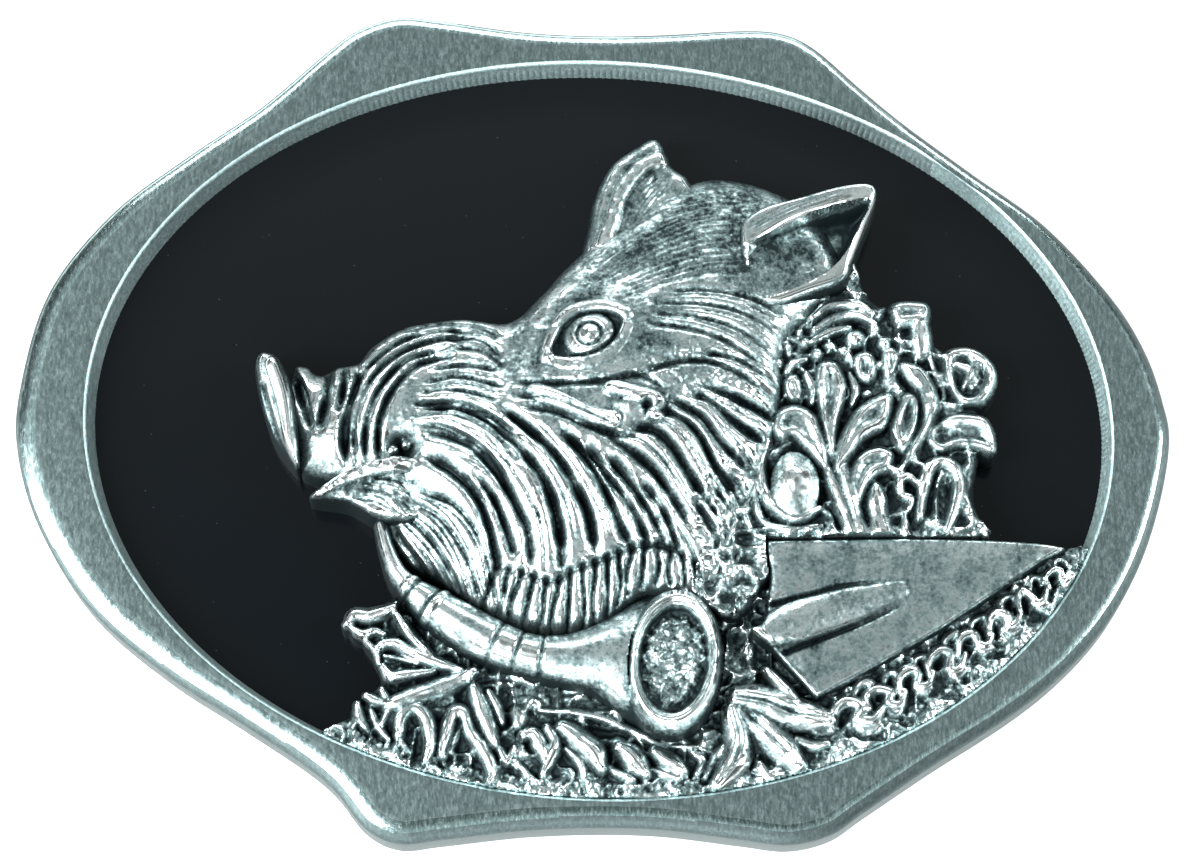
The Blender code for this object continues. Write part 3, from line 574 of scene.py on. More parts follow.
def pulled_to_outline(places, footprint, cell):
    """Newton's steps: each place moves by its depth over the depth's slope, half a cell at most."""
    nudge = cell / 10
    for _ in range(RIM_PASSES):
        depth = footprint(places)
        across, up = (footprint(places + step) - depth for step in ([nudge, 0], [0, nudge]))
        slope = np.stack([across, up], -1) / nudge
        steepness = np.maximum((slope**2).sum(-1), FLATTEST_SLOPE)
        places = places + np.clip(-depth[:, None] * slope / steepness[:, None], -cell / 2, cell / 2)
    return places


def raised(footprint, height, low, high, cell, stain=None):
    """Vertices, faces and hollow values of a figure. footprint gives the depth inside the outline and
    height the surface above the enamel, both in drawn mm; stain, where given, adds patina."""
    columns, rows = np.maximum(np.ceil((high - low) / cell).astype(int), 2)
    x, y = np.meshgrid(low[0] + cell * np.arange(columns + 1), low[1] + cell * np.arange(rows + 1))
    points = np.stack([x, y], -1).reshape(-1, 2)
    filled = cells_inside(points, (rows, columns), footprint)
    row, column = np.nonzero(filled)
    wide = columns + 1
    first = row * wide + column
    quads = np.stack([first, first + 1, first + 1 + wide, first + wide], -1)
    edges = np.concatenate([quads[:, [0, 1]], quads[:, [1, 2]], quads[:, [2, 3]], quads[:, [3, 0]]])
    code, back = edges[:, 0] * len(points) + edges[:, 1], edges[:, 1] * len(points) + edges[:, 0]
    rim = edges[~np.isin(code, back)]
    used, where_used = np.unique(quads, return_inverse=True)
    quads = where_used.reshape(-1, 4)
    rim = np.searchsorted(used, rim)
    where = points[used]
    on_rim = np.unique(rim)
    where[on_rim] = pulled_to_outline(where[on_rim], footprint, cell)
    top = height(where)
    sheet = np.zeros(len(points))
    known = np.zeros(len(points), bool)
    sheet[used], known[used] = top, True
    radius = max(int(round(HOLLOW_REACH / cell)), 1)
    around = blurred(sheet.reshape(rows + 1, wide), known.reshape(rows + 1, wide), radius)
    around = around.reshape(-1)[used]
    hollow = np.clip(0.5 + (around - top) / HOLLOW_DEPTH / 2, 0, 1) + (stain(where) if stain else 0.0)
    count, foot_ring = len(where), np.full(len(on_rim), FOOT)
    number = np.zeros(count, int)
    number[on_rim] = count + np.arange(len(on_rim))
    flat = in_metres(np.vstack([where, where[on_rim]]))
    heights = np.concatenate([top, foot_ring]) * SCALE + ENAMEL_Z
    wall = np.stack([rim[:, 1], rim[:, 0], number[rim[:, 0]], number[rim[:, 1]]], -1)
    vertices = np.column_stack([flat, heights])
    faces = np.vstack([quads, wall])
    return vertices, faces, np.concatenate([hollow, np.full(len(on_rim), 1.0)])


def raised_piece(name, raised_figure):
    """One object from a raised figure, with its underside closed and its hollows kept."""
    vertices, faces, hollow = raised_figure
    made = new_object(name, vertices, faces.tolist(), relief_finish)
    data = made.data.attributes.new("hollow", "FLOAT", "POINT")
    data.data.foreach_set("value", hollow.astype(np.float32))
    shape = bmesh.new()
    shape.from_mesh(made.data)
    open_edges = [edge for edge in shape.edges if edge.is_boundary]
    bmesh.ops.holes_fill(shape, edges=open_edges, sides=0)
    shape.to_mesh(made.data)
    shape.free()
    return stood_up(made, "casting", sharp=70)


# %% [markdown]
# ## Furrows
# Hair, folds and veins are all furrows. The relief falls to each line and swells between neighbours, the
# way a modeller presses a tool into wax. Sculpting brushes would do it too, but lines can be laid just
# where the photograph shows them and changed later. Fine hair comes from combing: between two drawn lines
# a loop lays more lines, each a blend of the two.

# %% Combed hair
LINE_POINTS = 18
STRAY = 0.10


def evenly(line, count=LINE_POINTS):
    """The line's points moved to equal steps of its length."""
    step = np.hypot(*np.diff(line, axis=0).T)
    place = np.concatenate([[0], np.cumsum(step)])
    wanted = np.linspace(0, place[-1], count)
    return np.stack([np.interp(wanted, place, line[:, k]) for k in (0, 1)], -1)


def combed(lines, between, lift, seed):
    """The drawn lines, and between each pair as many blends, a little astray and shorter at the ends."""
    random = np.random.default_rng(seed)
    guides = [evenly(smooth_line(drawn(line, lift))) for line in lines]
    main, fine = list(guides), []
    for first, second in zip(guides[:-1], guides[1:]):
        for k in range(between):
            share = (k + 1) / (between + 1) + random.uniform(-0.12, 0.12) / (between + 1)
            wave = STRAY * np.sin(np.linspace(0, random.uniform(3, 7), LINE_POINTS) + random.uniform(0, 6))
            line = first * (1 - share) + second * share + wave[:, None] * [0.6, 0.8]
            start, end = random.integers(0, 3), LINE_POINTS - random.integers(0, 3)
            fine.append(line[start:end])
    return main, fine


# %% Furrows and ridges
UNEVEN_MM = 1.3
RUN_OUT = 7
RUN_OUT_LEAST = 0.25


def furrowed(height, where, lines, depth, width, uneven=0.0):
    """Lower the height by depth on the lines; beside each it rises by a quarter of a sine over width. Where
    uneven is set, noise makes stretches shallower and the furrows run out at both ends."""
    nearest = np.full(len(where), FAR)
    share = np.zeros(len(where))
    for line in lines:
        gap, along = nearest_on(line, where, reach=width)
        share = np.where(gap < nearest, along, share)
        nearest = np.minimum(nearest, gap)
    strength = 1.0
    if uneven:
        ends = np.clip(np.minimum(share, 1 - share) * RUN_OUT + RUN_OUT_LEAST, 0, 1)
        strength = ends * (1 + uneven * 2 * grain(where, UNEVEN_MM, 51))
    return height - depth * strength * (1 - np.sin(np.clip(nearest / width, 0, 1) * math.pi / 2))


def ridged(height, where, line, rise, width, fade=0.0):
    """Raise a rounded ridge along the line, fading out towards its end where asked."""
    gap, along = nearest_on(line, where, reach=width)
    return height + rise * hump(gap, width) * (1 - fade * along)


# %% [markdown]
# ## The boar's head
# The head is a smooth swelling body with hair cut into it. A modeller would press the body up in wax
# first, and so does this step. The body is a thin plate spline: the smoothest sheet that passes close to
# heights named at a few dozen places, such as the brow, the cheek and the lip. Each is a pixel and a
# level above the enamel, so moving one mark reshapes the sheet there and leaves the rest smooth.

# %% Outline and body of the head
HEAD = [
    (292, 366), (306, 363), (320, 372), (338, 364), (357, 361), (372, 344), (405, 325), (460, 317),
    (508, 321), (538, 297), (560, 272), (586, 248), (620, 226), (660, 196), (700, 177), (735, 176),
    (770, 186), (806, 206), (836, 240), (848, 280), (822, 318), (790, 350), (784, 400), (780, 440),
    (768, 484), (744, 530), (724, 586), (690, 604), (645, 600), (600, 632), (545, 640), (490, 622),
    (440, 585), (408, 566), (386, 542), (372, 518), (345, 492), (316, 480), (299, 469), (290, 440),
    (284, 400),
]
HEAD_LEVEL = 2.6
HEAD_HEIGHTS = [
    (296, 380, 3.6), (300, 440, 3.8), (326, 375, 3.6), (326, 405, 4.4), (350, 385, 4.6),
    (372, 350, 4.0), (400, 400, 5.2), (440, 334, 4.4), (480, 355, 5.0), (440, 400, 5.6),
    (340, 440, 4.9), (400, 445, 5.0), (470, 440, 6.3), (520, 420, 6.6), (512, 350, 4.6),
    (540, 310, 4.8), (590, 330, 5.8), (590, 270, 4.7), (640, 290, 5.9), (690, 240, 5.3),
    (700, 195, 3.8), (745, 188, 3.2), (745, 240, 5.0), (790, 220, 4.2), (720, 300, 6.3),
    (700, 380, 6.8), (620, 400, 7.0), (560, 450, 7.0), (630, 480, 6.6), (710, 450, 6.2),
    (770, 420, 5.2), (790, 340, 5.0), (830, 300, 3.8), (850, 400, 3.4), (500, 520, 5.8),
    (560, 540, 5.8), (450, 520, 4.6), (400, 500, 3.8), (376, 520, 2.8), (640, 540, 5.4),
    (520, 600, 4.2), (600, 600, 4.2), (440, 570, 3.4), (700, 540, 4.4), (750, 520, 3.6),
    (720, 596, 3.0), (800, 480, 3.2), (840, 520, 2.8),
]
SHEET_SLACK = 4.0


def spline_sheet(marks):
    """Thin plate spline: weights on r squared times log r round each mark, plus a tilted plane."""
    marks = np.array(marks, float)
    places = drawn(marks[:, :2], marks[:, 2])

    def kernel(square):
        return square * np.log(square + 1e-9) / 2

    count = len(marks)
    system = np.zeros((count + 3, count + 3))
    square = ((places[:, None] - places[None]) ** 2).sum(-1)
    system[:count, :count] = kernel(square) + np.eye(count) * SHEET_SLACK
    system[:count, count] = system[count, :count] = 1
    system[:count, count + 1 :] = places
    system[count + 1 :, :count] = places.T
    weights = np.linalg.solve(system, np.concatenate([marks[:, 2], np.zeros(3)]))

    def sheet(where):
        height = weights[count] + where @ weights[count + 1 :]
        for place, weight in zip(places, weights[:count]):
            height = height + weight * kernel(((where - place) ** 2).sum(-1))
        return height

    return sheet


head_body = spline_sheet(HEAD_HEIGHTS)
head_line = smooth_line(drawn(HEAD, HEAD_LEVEL), True)
cheek = head_body(drawn([(620, 400)], 7.0))[0]
print("the cheek stands", round(float(cheek), 2), "mm above the enamel")

# %% [markdown]
# ### Hair and folds
# The muzzle is wrapped in deep folds, the beard and the jaw hang in thick locks, the cheek is combed back
# and the crown is nearly smooth. Each group is a few lines traced from front to back, with its own depth
# and width, and the finer hairs between them come from combing.

# %% The lines of the snout and the muzzle
SNOUT_FOLDS = [
    [(294, 372), (302, 400), (311, 427)],
    [(328, 366), (326, 395), (318, 428)],
    [(343, 362), (343, 385), (338, 412)],
    [(356, 362), (358, 382), (350, 410), (344, 460)],
]
LIP_BANDS = [
    [(380, 462), (377, 440), (381, 412), (394, 386), (418, 362), (452, 355)],
    [(366, 463), (364, 440), (368, 410), (383, 380), (408, 356), (446, 346)],
    [(356, 463), (353, 430), (359, 400), (374, 370), (402, 348), (440, 335), (470, 336)],
    [(346, 462), (342, 430), (349, 395), (366, 362), (400, 336), (440, 325), (480, 330)],
]
MUZZLE_TOP = [
    [(404, 326), (440, 319), (480, 324), (500, 338)],
    [(440, 332), (480, 338), (502, 356)],
    [(456, 346), (486, 352), (506, 370)],
]
MUZZLE_HAIR = [
    [(432, 366), (465, 362), (498, 368)],
    [(424, 380), (460, 374), (504, 386)],
    [(418, 390), (455, 388), (500, 400)],
    [(412, 402), (450, 400), (485, 412), (520, 440)],
    [(410, 414), (450, 412), (490, 432), (520, 466)],
    [(416, 422), (445, 426), (480, 446), (505, 480)],
]

# %% The lines of the beard, the cheek and the crown
BEARD = [
    [(425, 450), (450, 465), (475, 490), (488, 520), (494, 545), (500, 563)],
    [(477, 474), (492, 492), (504, 520), (515, 552)],
    [(420, 425), (450, 432), (475, 447), (497, 472), (515, 500), (528, 530), (530, 567)],
    [(420, 404), (455, 402), (497, 425), (540, 472), (558, 520), (562, 565)],
    [(500, 404), (530, 430), (560, 460), (586, 506), (596, 552)],
    [(560, 430), (582, 452), (604, 486), (620, 520), (632, 544)],
    [(585, 444), (610, 476), (634, 508), (650, 540)],
    [(606, 454), (634, 486), (656, 518), (668, 544)],
    [(640, 478), (664, 506), (680, 546)],
]
JAW_LOCKS = [
    [(608, 436), (640, 458), (664, 482), (690, 520)],
    [(630, 430), (652, 430), (672, 446), (704, 492)],
    [(654, 412), (676, 415), (698, 432), (716, 462), (740, 482)],
    [(672, 402), (700, 414), (722, 440), (760, 470)],
    [(690, 394), (712, 400), (732, 417), (766, 436)],
    [(700, 384), (730, 394), (776, 412)],
]
CHEEK_HAIR = [
    [(646, 324), (690, 330), (728, 342), (766, 364)],
    [(652, 314), (698, 318), (737, 328), (774, 350)],
    [(660, 303), (704, 304), (744, 312), (780, 330)],
    [(668, 290), (710, 290), (752, 296), (786, 312)],
]
CROWN_HAIR = [
    [(628, 300), (668, 286), (712, 276), (748, 274)],
    [(612, 284), (658, 266), (706, 250), (742, 246)],
    [(590, 280), (640, 250), (694, 224), (744, 216)],
    [(570, 284), (612, 250), (668, 214), (728, 198)],
    [(556, 288), (600, 246), (650, 210), (706, 188)],
]
CHEEK_CREASES = [
    [(700, 352), (740, 357), (782, 380)],
    [(640, 372), (690, 360), (730, 366), (776, 392)],
    [(510, 376), (540, 380), (600, 380), (640, 375), (664, 390)],
    [(512, 392), (548, 396), (586, 412), (620, 428)],
    [(520, 404), (560, 412), (600, 430), (640, 438)],
]
CHIN_HAIR = [
    [(392, 520), (404, 540), (424, 566), (436, 580)],
    [(400, 508), (424, 530), (446, 560), (462, 592)],
    [(410, 500), (440, 518), (466, 556), (482, 604)],
    [(420, 492), (456, 508), (482, 546), (498, 610)],
]
NECK_CREASES = [
    [(716, 470), (744, 502), (754, 540)],
    [(694, 500), (716, 536), (724, 580)],
    [(742, 450), (764, 478), (766, 500)],
    [(676, 520), (696, 556), (700, 590)],
]

# %% Depth and width of each group of hair
HAIR = [
    # lines, finer lines between, lift, depth and width of the drawn lines, of the finer ones
    (SNOUT_FOLDS, 0, 4.4, 1.10, 0.80, 0, 1),
    (LIP_BANDS, 0, 5.0, 0.85, 0.66, 0, 1),
    (MUZZLE_TOP, 1, 4.6, 0.50, 0.60, 0.22, 0.3),
    (MUZZLE_HAIR, 1, 5.6, 0.62, 0.58, 0.30, 0.32),
    (BEARD, 1, 6.4, 1.15, 0.92, 0.30, 0.30),
    (JAW_LOCKS, 1, 6.3, 0.95, 0.85, 0.30, 0.30),
    (CHEEK_HAIR, 1, 6.0, 0.45, 0.62, 0.24, 0.28),
    (CROWN_HAIR, 3, 5.0, 0.13, 0.45, 0.10, 0.26),
    (CHIN_HAIR, 2, 4.2, 0.50, 0.50, 0.32, 0.26),
    (CHEEK_CREASES, 0, 6.6, 0.50, 0.60, 0, 1),
    (NECK_CREASES, 2, 5.0, 0.55, 0.50, 0.35, 0.35),
]
UNEVEN, FINE_UNEVEN = 0.35, 0.6
print(len(HAIR), "groups of hair with", sum(len(row[0]) for row in HAIR), "drawn lines")

# %% [markdown]
# ### Eye, wart, mouth and fringe
# The eye is a ball set in an almond opening with lids laid round it as ridges. Below it sits a wart with
# a small pit, and the corner of the mouth is a soft hole with blunt teeth. Between the beard and the horn
# a row of short locks hangs down; two guide lines, one at its top and one at its foot, place them all.

# %% Eye and wart
EYE = (589, 333)
EYE_LEVEL, LID_LEVEL = 6.0, 6.2
EYE_OPENING = [
    (553, 350), (557, 335), (568, 320), (585, 312), (603, 311), (620, 318), (617, 334), (604, 347),
    (586, 354), (568, 354),
]
EYE_BALL, EYE_RADIUS, EYE_SET_BACK = 1.10, 2.1, 0.60
IRIS_GROOVE, IRIS_RADIUS, IRIS_WIDTH = 0.40, 0.95, 0.15
PUPIL_RISE, PUPIL_RADIUS = 0.15, 0.35
LID_GROOVE, LID_GROOVE_WIDTH, LID_WIDTH = 0.35, 0.14, 0.60
BROW = [(548, 302), (575, 298), (604, 301), (640, 322), (676, 338), (704, 345)]
LIDS = [
    # line, rise of the ridge
    ([(546, 353), (552, 334), (565, 314), (583, 305), (604, 304), (626, 313)], 0.35),
    ([(549, 354), (567, 361), (588, 361), (607, 354), (619, 342), (626, 326)], 0.18),
    ([(546, 368), (547, 345), (556, 320), (572, 306)], 0.12),
]
WART, WART_PIT, WART_LEVEL = (630, 402), (648, 403), 7.3
WART_RIDGE = [(612, 386), (640, 394), (656, 400), (656, 412)]
WART_TUFT = [(536, 386), (562, 400), (588, 415), (612, 420)]


def face_details(height, where):
    """Ridges for the brow, the lids and the wart's folds, half an ellipse for the eyeball inside its almond
    outline, and bell curves for the iris ring, the pupil, the groove of the lids, the wart and its pit."""
    height = ridged(height, where, smooth_line(drawn(BROW, EYE_LEVEL)), 0.30, 1.9, 0.7)
    opening = depth_inside(smooth_line(drawn(EYE_OPENING, EYE_LEVEL), True), where, reach=1.5)
    eye = np.hypot(*(where - drawn(EYE, EYE_LEVEL)).T)
    iris = IRIS_GROOVE * bell_curve(eye - IRIS_RADIUS, IRIS_WIDTH)
    iris -= PUPIL_RISE * bell_curve(eye, PUPIL_RADIUS)
    ball = EYE_BALL * hump(eye, EYE_RADIUS) - EYE_SET_BACK - iris
    height += np.where(opening > 0, ball * round_over(opening, 0.35), 0)
    height -= LID_GROOVE * bell_curve(opening, LID_GROOVE_WIDTH)
    for lid, rise in LIDS:
        height = ridged(height, where, smooth_line(drawn(lid, LID_LEVEL)), rise, LID_WIDTH)
    height = ridged(height, where, smooth_line(drawn(WART_TUFT, 7.0)), 0.55, 0.75, -0.4)
    height = ridged(height, where, smooth_line(drawn(WART_RIDGE, 7.2)), 0.75, 0.7)
    wart, pit = (np.hypot(*(where - drawn(place, WART_LEVEL)).T) for place in (WART, WART_PIT))
    height += 0.55 * bell_curve(wart, 1.3)
    return height - 0.8 * bell_curve(pit, 0.32)


# %% Mouth
MOUTH = (402, 444)
MOUTH_HALF = (1.7, 1.5)
MOUTH_DEPTH = 1.9
TEETH = [(388, 433), (400, 427), (392, 446), (406, 440), (414, 430)]
TOOTH_LEVEL, TOOTH_DROP, TOOTH_RADIUS = 4.3, 0.5, 0.45
UNDER_ALL = 9


def mouth(height, where):
    """The corner of the mouth: a bell-shaped pit with a few blunt teeth standing in it."""
    pit = np.hypot(*((where - drawn(MOUTH, 5.2)) / MOUTH_HALF).T)
    height = height - MOUTH_DEPTH * bell_curve(pit, 0.75)
    for place in TEETH:
        gap = np.hypot(*(where - drawn(place, 5.0)).T)
        tooth = TOOTH_LEVEL - TOOTH_DROP * (1 - hump(gap, TOOTH_RADIUS)) - UNDER_ALL * (gap > TOOTH_RADIUS)
        height = np.maximum(height, tooth)
    return height


# %% Fringe
FRINGE_LOCKS = 17
FRINGE_SWAY = 0.22
FRINGE_TOP = [
    (496, 562), (528, 570), (552, 578), (576, 566), (606, 556), (632, 545), (664, 542), (694, 556),
]
FRINGE_FOOT = [
    (482, 604), (520, 626), (552, 632), (580, 630), (604, 616), (630, 590), (664, 580), (700, 590),
]


def fringe_lines():
    """Short upright locks between the beard's end and the horn, evenly spaced along both guides."""
    top = evenly(smooth_line(drawn(FRINGE_TOP, 5.2)), FRINGE_LOCKS)
    foot = evenly(smooth_line(drawn(FRINGE_FOOT, 4.2)), FRINGE_LOCKS)
    share = np.linspace(0, 1, 5)[None, :, None]
    lines = top[:, None] * (1 - share) + foot[:, None] * share
    sway = FRINGE_SWAY * np.sin(np.arange(FRINGE_LOCKS) * 2.1)
    lines[:, 2:4, 0] += sway[:, None]
    return list(lines)


# %% The head, with all its details on the body
CHEEK_PATCH = [(642, 350), (690, 342), (760, 366), (790, 400), (740, 420), (690, 396), (656, 388)]
NECK_PATCH = [(700, 470), (770, 440), (775, 500), (748, 560), (712, 604), (690, 600), (690, 540)]
ROUGH_PATCHES = [
    # outline, level, height of the roughness
    (CHEEK_PATCH, 6.5, 0.16),
    (NECK_PATCH, 5.0, 0.30),
]
HEAD_EDGE = 2.2
HEAD_EDGE_KEEPS = 0.34
CROWN = [
    (560, 262), (600, 236), (660, 190), (735, 168), (812, 204), (816, 270), (770, 296), (700, 290),
    (640, 276), (596, 268),
]
CROWN_STAIN = 0.15
RELIEF_CELL = 0.11


def head_footprint(where):
    return depth_inside(head_line, where)


def head_height(where):
    """The body with its mouth, furrows, face and rough skin, rounded down to a third at its edge."""
    height = mouth(head_body(where), where)
    for lines, between, lift, depth, width, fine_depth, fine_width in HAIR:
        main, fine = combed(lines, between, lift, seed=len(lines))
        height = furrowed(height, where, main, depth, width, UNEVEN)
        if fine:
            height = furrowed(height, where, fine, fine_depth, fine_width, FINE_UNEVEN)
    height = furrowed(height, where, fringe_lines(), 0.55, 0.46)
    height = furrowed(height, where, [smooth_line(drawn(FRINGE_TOP, 5.6))], 0.35, 0.6, 0.4)
    height = face_details(height, where)
    for outline, lift, rough in ROUGH_PATCHES:
        patch = round_over(depth_inside(smooth_line(drawn(outline, lift), True), where), 0.8)
        height += patch * rough * grain(where, 0.35, 3)
    height += 0.06 * grain(where, 0.22, 4)
    edge = round_over(head_footprint(where), HEAD_EDGE)
    return height * (HEAD_EDGE_KEEPS + (1 - HEAD_EDGE_KEEPS) * edge)


def crown_stain(where):
    """More patina on the crown, where a thumb rubs the casting least: a round over, 3 mm wide."""
    depth = depth_inside(smooth_line(drawn(CROWN, 4.6), True), where)
    return CROWN_STAIN * round_over(depth * 0.7, 3.0)


head_low, head_high = head_line.min(0) - 0.3, head_line.max(0) + 0.3
head_figure = raised(head_footprint, head_height, head_low, head_high, RELIEF_CELL, crown_stain)
raised_piece("boar_head", head_figure)

# %% [markdown]
# ## Snout disc, jaw and ears
# These stand clear of the head with edges of their own, so each is its own figure. A figure is an
# outline, a level and a function for its top. One piece with the head would need walls inside its own
# grid, which a height above each place can't give.

# %% One raised figure from an outline


def figure(outline, lift, top, cell, edge, keep=0.45):
    """A figure whose top(where) falls to keep of its height over the last edge mm."""
    line = smooth_line(drawn(outline, lift), True)

    def footprint(where):
        return depth_inside(line, where)

    def height(where):
        depth = footprint(where)
        return top(where) * (keep + (1 - keep) * round_over(depth, edge))

    return raised(footprint, height, line.min(0) - 3 * cell, line.max(0) + 3 * cell, cell)


# %% Snout disc
SNOUT_DISC = [
    (262, 351), (254, 362), (256, 384), (263, 412), (272, 437), (284, 455), (296, 468), (300, 460),
    (299, 430), (296, 400), (289, 376), (278, 356),
]
DISC_GROOVE = [(262, 384), (270, 414), (280, 440), (292, 462)]
DISC_CREST = [(276, 364), (287, 400), (294, 434), (298, 458)]


def disc_top(where):
    """Level, with a furrow down its middle and a ridge where it meets the muzzle."""
    height = np.full(len(where), 4.7)
    height = furrowed(height, where, [smooth_line(drawn(DISC_GROOVE, 4.6))], 0.7, 0.5)
    return ridged(height, where, smooth_line(drawn(DISC_CREST, 5.0)), 0.6, 0.9)


raised_piece("snout_disc", figure(SNOUT_DISC, 3.6, disc_top, 0.08, 0.9))

# %% Lower jaw and tusk
JAW = [
    (309, 497), (324, 484), (346, 472), (372, 464), (404, 460), (440, 462), (462, 476),
    (452, 500), (428, 516), (404, 524), (376, 520), (346, 504),
]
TUSK_TIP = (310, 497)
TUSK = [(312, 495), (328, 485), (348, 475), (374, 467), (404, 464), (440, 467)]
JAW_LEVEL, JAW_TURN = 3.4, 6.5
JAW_CLIMB, JAW_FALL = 0.22, 0.45
JAW_HAIR = [
    [(372, 476), (400, 482), (424, 500)],
    [(360, 486), (390, 492), (414, 510)],
    [(352, 496), (376, 500), (398, 514)],
]


def jaw_top(where):
    """The lip rises to the right, with a bright rim along its upper edge that begins as the tusk's tip."""
    reach = where[:, 0] - drawn(TUSK_TIP, 3.6)[0]
    height = JAW_LEVEL + JAW_CLIMB * np.clip(reach, 0, JAW_TURN) - JAW_FALL * np.clip(reach - JAW_TURN, 0, 6)
    gap, along = nearest_on(smooth_line(drawn(TUSK, 4.6)), where)
    height += 0.7 * hump(gap, 0.30 + 0.45 * np.minimum(along * 2, 1))
    main, fine = combed(JAW_HAIR, 2, 4.6, 5)
    height = furrowed(height, where, main, 0.30, 0.4, 0.3)
    return furrowed(height, where, fine, 0.2, 0.3, 0.5) + 0.16 * grain(where, 0.3, 9)


raised_piece("lower_jaw", figure(JAW, 3.2, jaw_top, 0.09, 0.4, keep=0.7))

# %% Far ear
FAR_EAR = [
    (583, 262), (588, 227), (594, 198), (610, 167), (632, 150), (652, 139), (664, 146),
    (674, 168), (690, 182), (700, 215), (650, 245), (615, 262),
]
FAR_EAR_RIM = [(604, 246), (612, 222), (622, 192), (642, 168), (660, 160)]
FAR_EAR_FOLD = [(630, 250), (646, 214), (668, 186)]


def far_ear_top(where):
    """A plane that falls towards the ear's tip, with a rim along its left side and fine hair beside it."""
    middle = drawn((640, 190), 2.8)
    height = 3.2 - 0.05 * (where[:, 1] - middle[1]) + 0.10 * grain(where, 0.5, 16)
    height = ridged(height, where, smooth_line(drawn(FAR_EAR_RIM, 3.0)), 0.45, 0.7)
    main, fine = combed([FAR_EAR_RIM, FAR_EAR_FOLD], 3, 3.0, 6)
    return furrowed(height, where, main[1:] + fine, 0.14, 0.3, 0.5)


raised_piece("far_ear", figure(FAR_EAR, 2.0, far_ear_top, 0.10, 1.0))

# %% Near ear
NEAR_EAR = [
    (740, 226), (762, 208), (800, 198), (838, 188), (868, 186), (877, 198), (866, 228),
    (853, 262), (845, 284), (812, 296), (772, 308), (752, 296), (742, 262),
]
NEAR_EAR_BOWL = [
    (734, 254), (756, 240), (786, 226), (818, 212), (845, 205), (869, 202), (861, 224), (848, 250),
    (830, 271), (802, 286), (770, 297), (736, 304),
]
EAR_TOP_HAIR = [[(748, 228), (790, 206), (840, 193)], [(752, 238), (796, 214), (850, 199)]]
EAR_TUFTS = [
    [(742, 242), (760, 238), (780, 244), (794, 258)],
    [(740, 254), (758, 250), (776, 257), (788, 272)],
    [(740, 266), (754, 263), (770, 270), (778, 284)],
    [(742, 280), (754, 277), (764, 284), (768, 296)],
    [(762, 230), (784, 228), (804, 236), (814, 250)],
]
EAR_ROOT, EAR_TIP = (748, 260), (866, 214)
EAR_RIM, EAR_RIM_CLIMB = 5.8, 0.5
EAR_ROOT_LEVEL, EAR_BOWL_DEPTH = 5.0, 2.3


def near_ear_top(where):
    """A fleshy rim round a deep bowl; its floor climbs to its root, where tufts of hair stand as ridges."""
    bowl = depth_inside(smooth_line(drawn(NEAR_EAR_BOWL, 5.6), True), where)
    root, tip = drawn(EAR_ROOT, 5.4)[0], drawn(EAR_TIP, 5.4)[0]
    share = np.clip((where[:, 0] - root) / (tip - root), 0, 1)
    rim = EAR_RIM + EAR_RIM_CLIMB * share
    bottom = EAR_ROOT_LEVEL - EAR_BOWL_DEPTH * np.sqrt(np.minimum(share * 2.2, 1))
    bottom += 0.12 * grain(where, 0.4, 8)
    for tuft in EAR_TUFTS:
        bottom = ridged(bottom, where, smooth_line(drawn(tuft, 5.0)), 1.0, 0.50, 0.5)
    height = rim - (rim - bottom) * round_over(bowl, 0.9) * (bowl > 0)
    main, fine = combed(EAR_TOP_HAIR, 2, 5.9, 8)
    return furrowed(height, where, main + fine, 0.16, 0.3, 0.5)


raised_piece("near_ear", figure(NEAR_EAR, 5.0, near_ear_top, 0.10, 0.55, keep=0.72))

# %% [markdown]
# ## The hunting horn
# A horn is a curved tube that widens to a bell. A swept tube would do, but it would cut the head and the
# leaves in odd places. On the grid it is a half round along a line whose width grows, with raised bands
# where mounts sit, and the bell is an oval with a rolled rim and a sunken, rough floor.

# %% The horn's line and its bell
HORN_AXIS = [
    (380, 522, 8), (386, 545, 10), (398, 572, 14), (424, 596, 22), (452, 616, 25), (492, 638, 25),
    (530, 652, 24), (566, 656, 27), (600, 656, 38), (636, 657, 60), (666, 657, 73),
]
HORN_STEPS = len(HORN_AXIS) - 1
HORN_LEVEL = 4.0
HORN_END = HORN_STEPS - 0.1
HORN_FOOT = 1.6
HORN_CREST = ([0, 2, 4, 7, 8.5, 10], [3.6, 4.2, 4.7, 4.9, 5.2, 5.4])
HORN_RINGS = [
    # place along the axis, rise, share by which the outline widens
    (2.05, 0.30, 0.03),
    (3.0, 0.30, 0.03),
]
HORN_GROOVES = [2.2, 2.85, 5.05, 5.75, 6.45]
GROOVE_DEPTH, GROOVE_WIDTH = 0.35, 0.055
BELL_CENTRE = (674, 657)
BELL_HALF = (50, 76)
BELL_MOUTH = (37, 58)
BELL_TURN = math.radians(-6)
BELL_LEVEL = 5.4


def horn_measure(where):
    """Distance from the axis, place along it counted in its points, and half width there."""
    marks = smooth_line(np.array(HORN_AXIS, float), steps=6)
    gap, along = nearest_on(drawn(marks[:, :2], HORN_LEVEL), where)
    half = np.interp(along, np.linspace(0, 1, len(marks)), marks[:, 2]) * PITCH
    for place, _, widening in HORN_RINGS:
        half = half * (1 + widening * bell_curve(HORN_STEPS * along - place, 0.12, power=4))
    return gap, along * HORN_STEPS, half


def bell_measure(where):
    """Radius from the bell's centre as a share of its outer oval and of its mouth."""
    offset = where - drawn(BELL_CENTRE, BELL_LEVEL)
    cosine, sine = math.cos(BELL_TURN), math.sin(BELL_TURN)
    x = (offset[:, 0] * cosine + offset[:, 1] * sine) / PITCH
    y = (offset[:, 1] * cosine - offset[:, 0] * sine) / PITCH
    outer, mouth = (np.hypot(x / half[0], y / half[1]) for half in (BELL_HALF, BELL_MOUTH))
    return outer, mouth


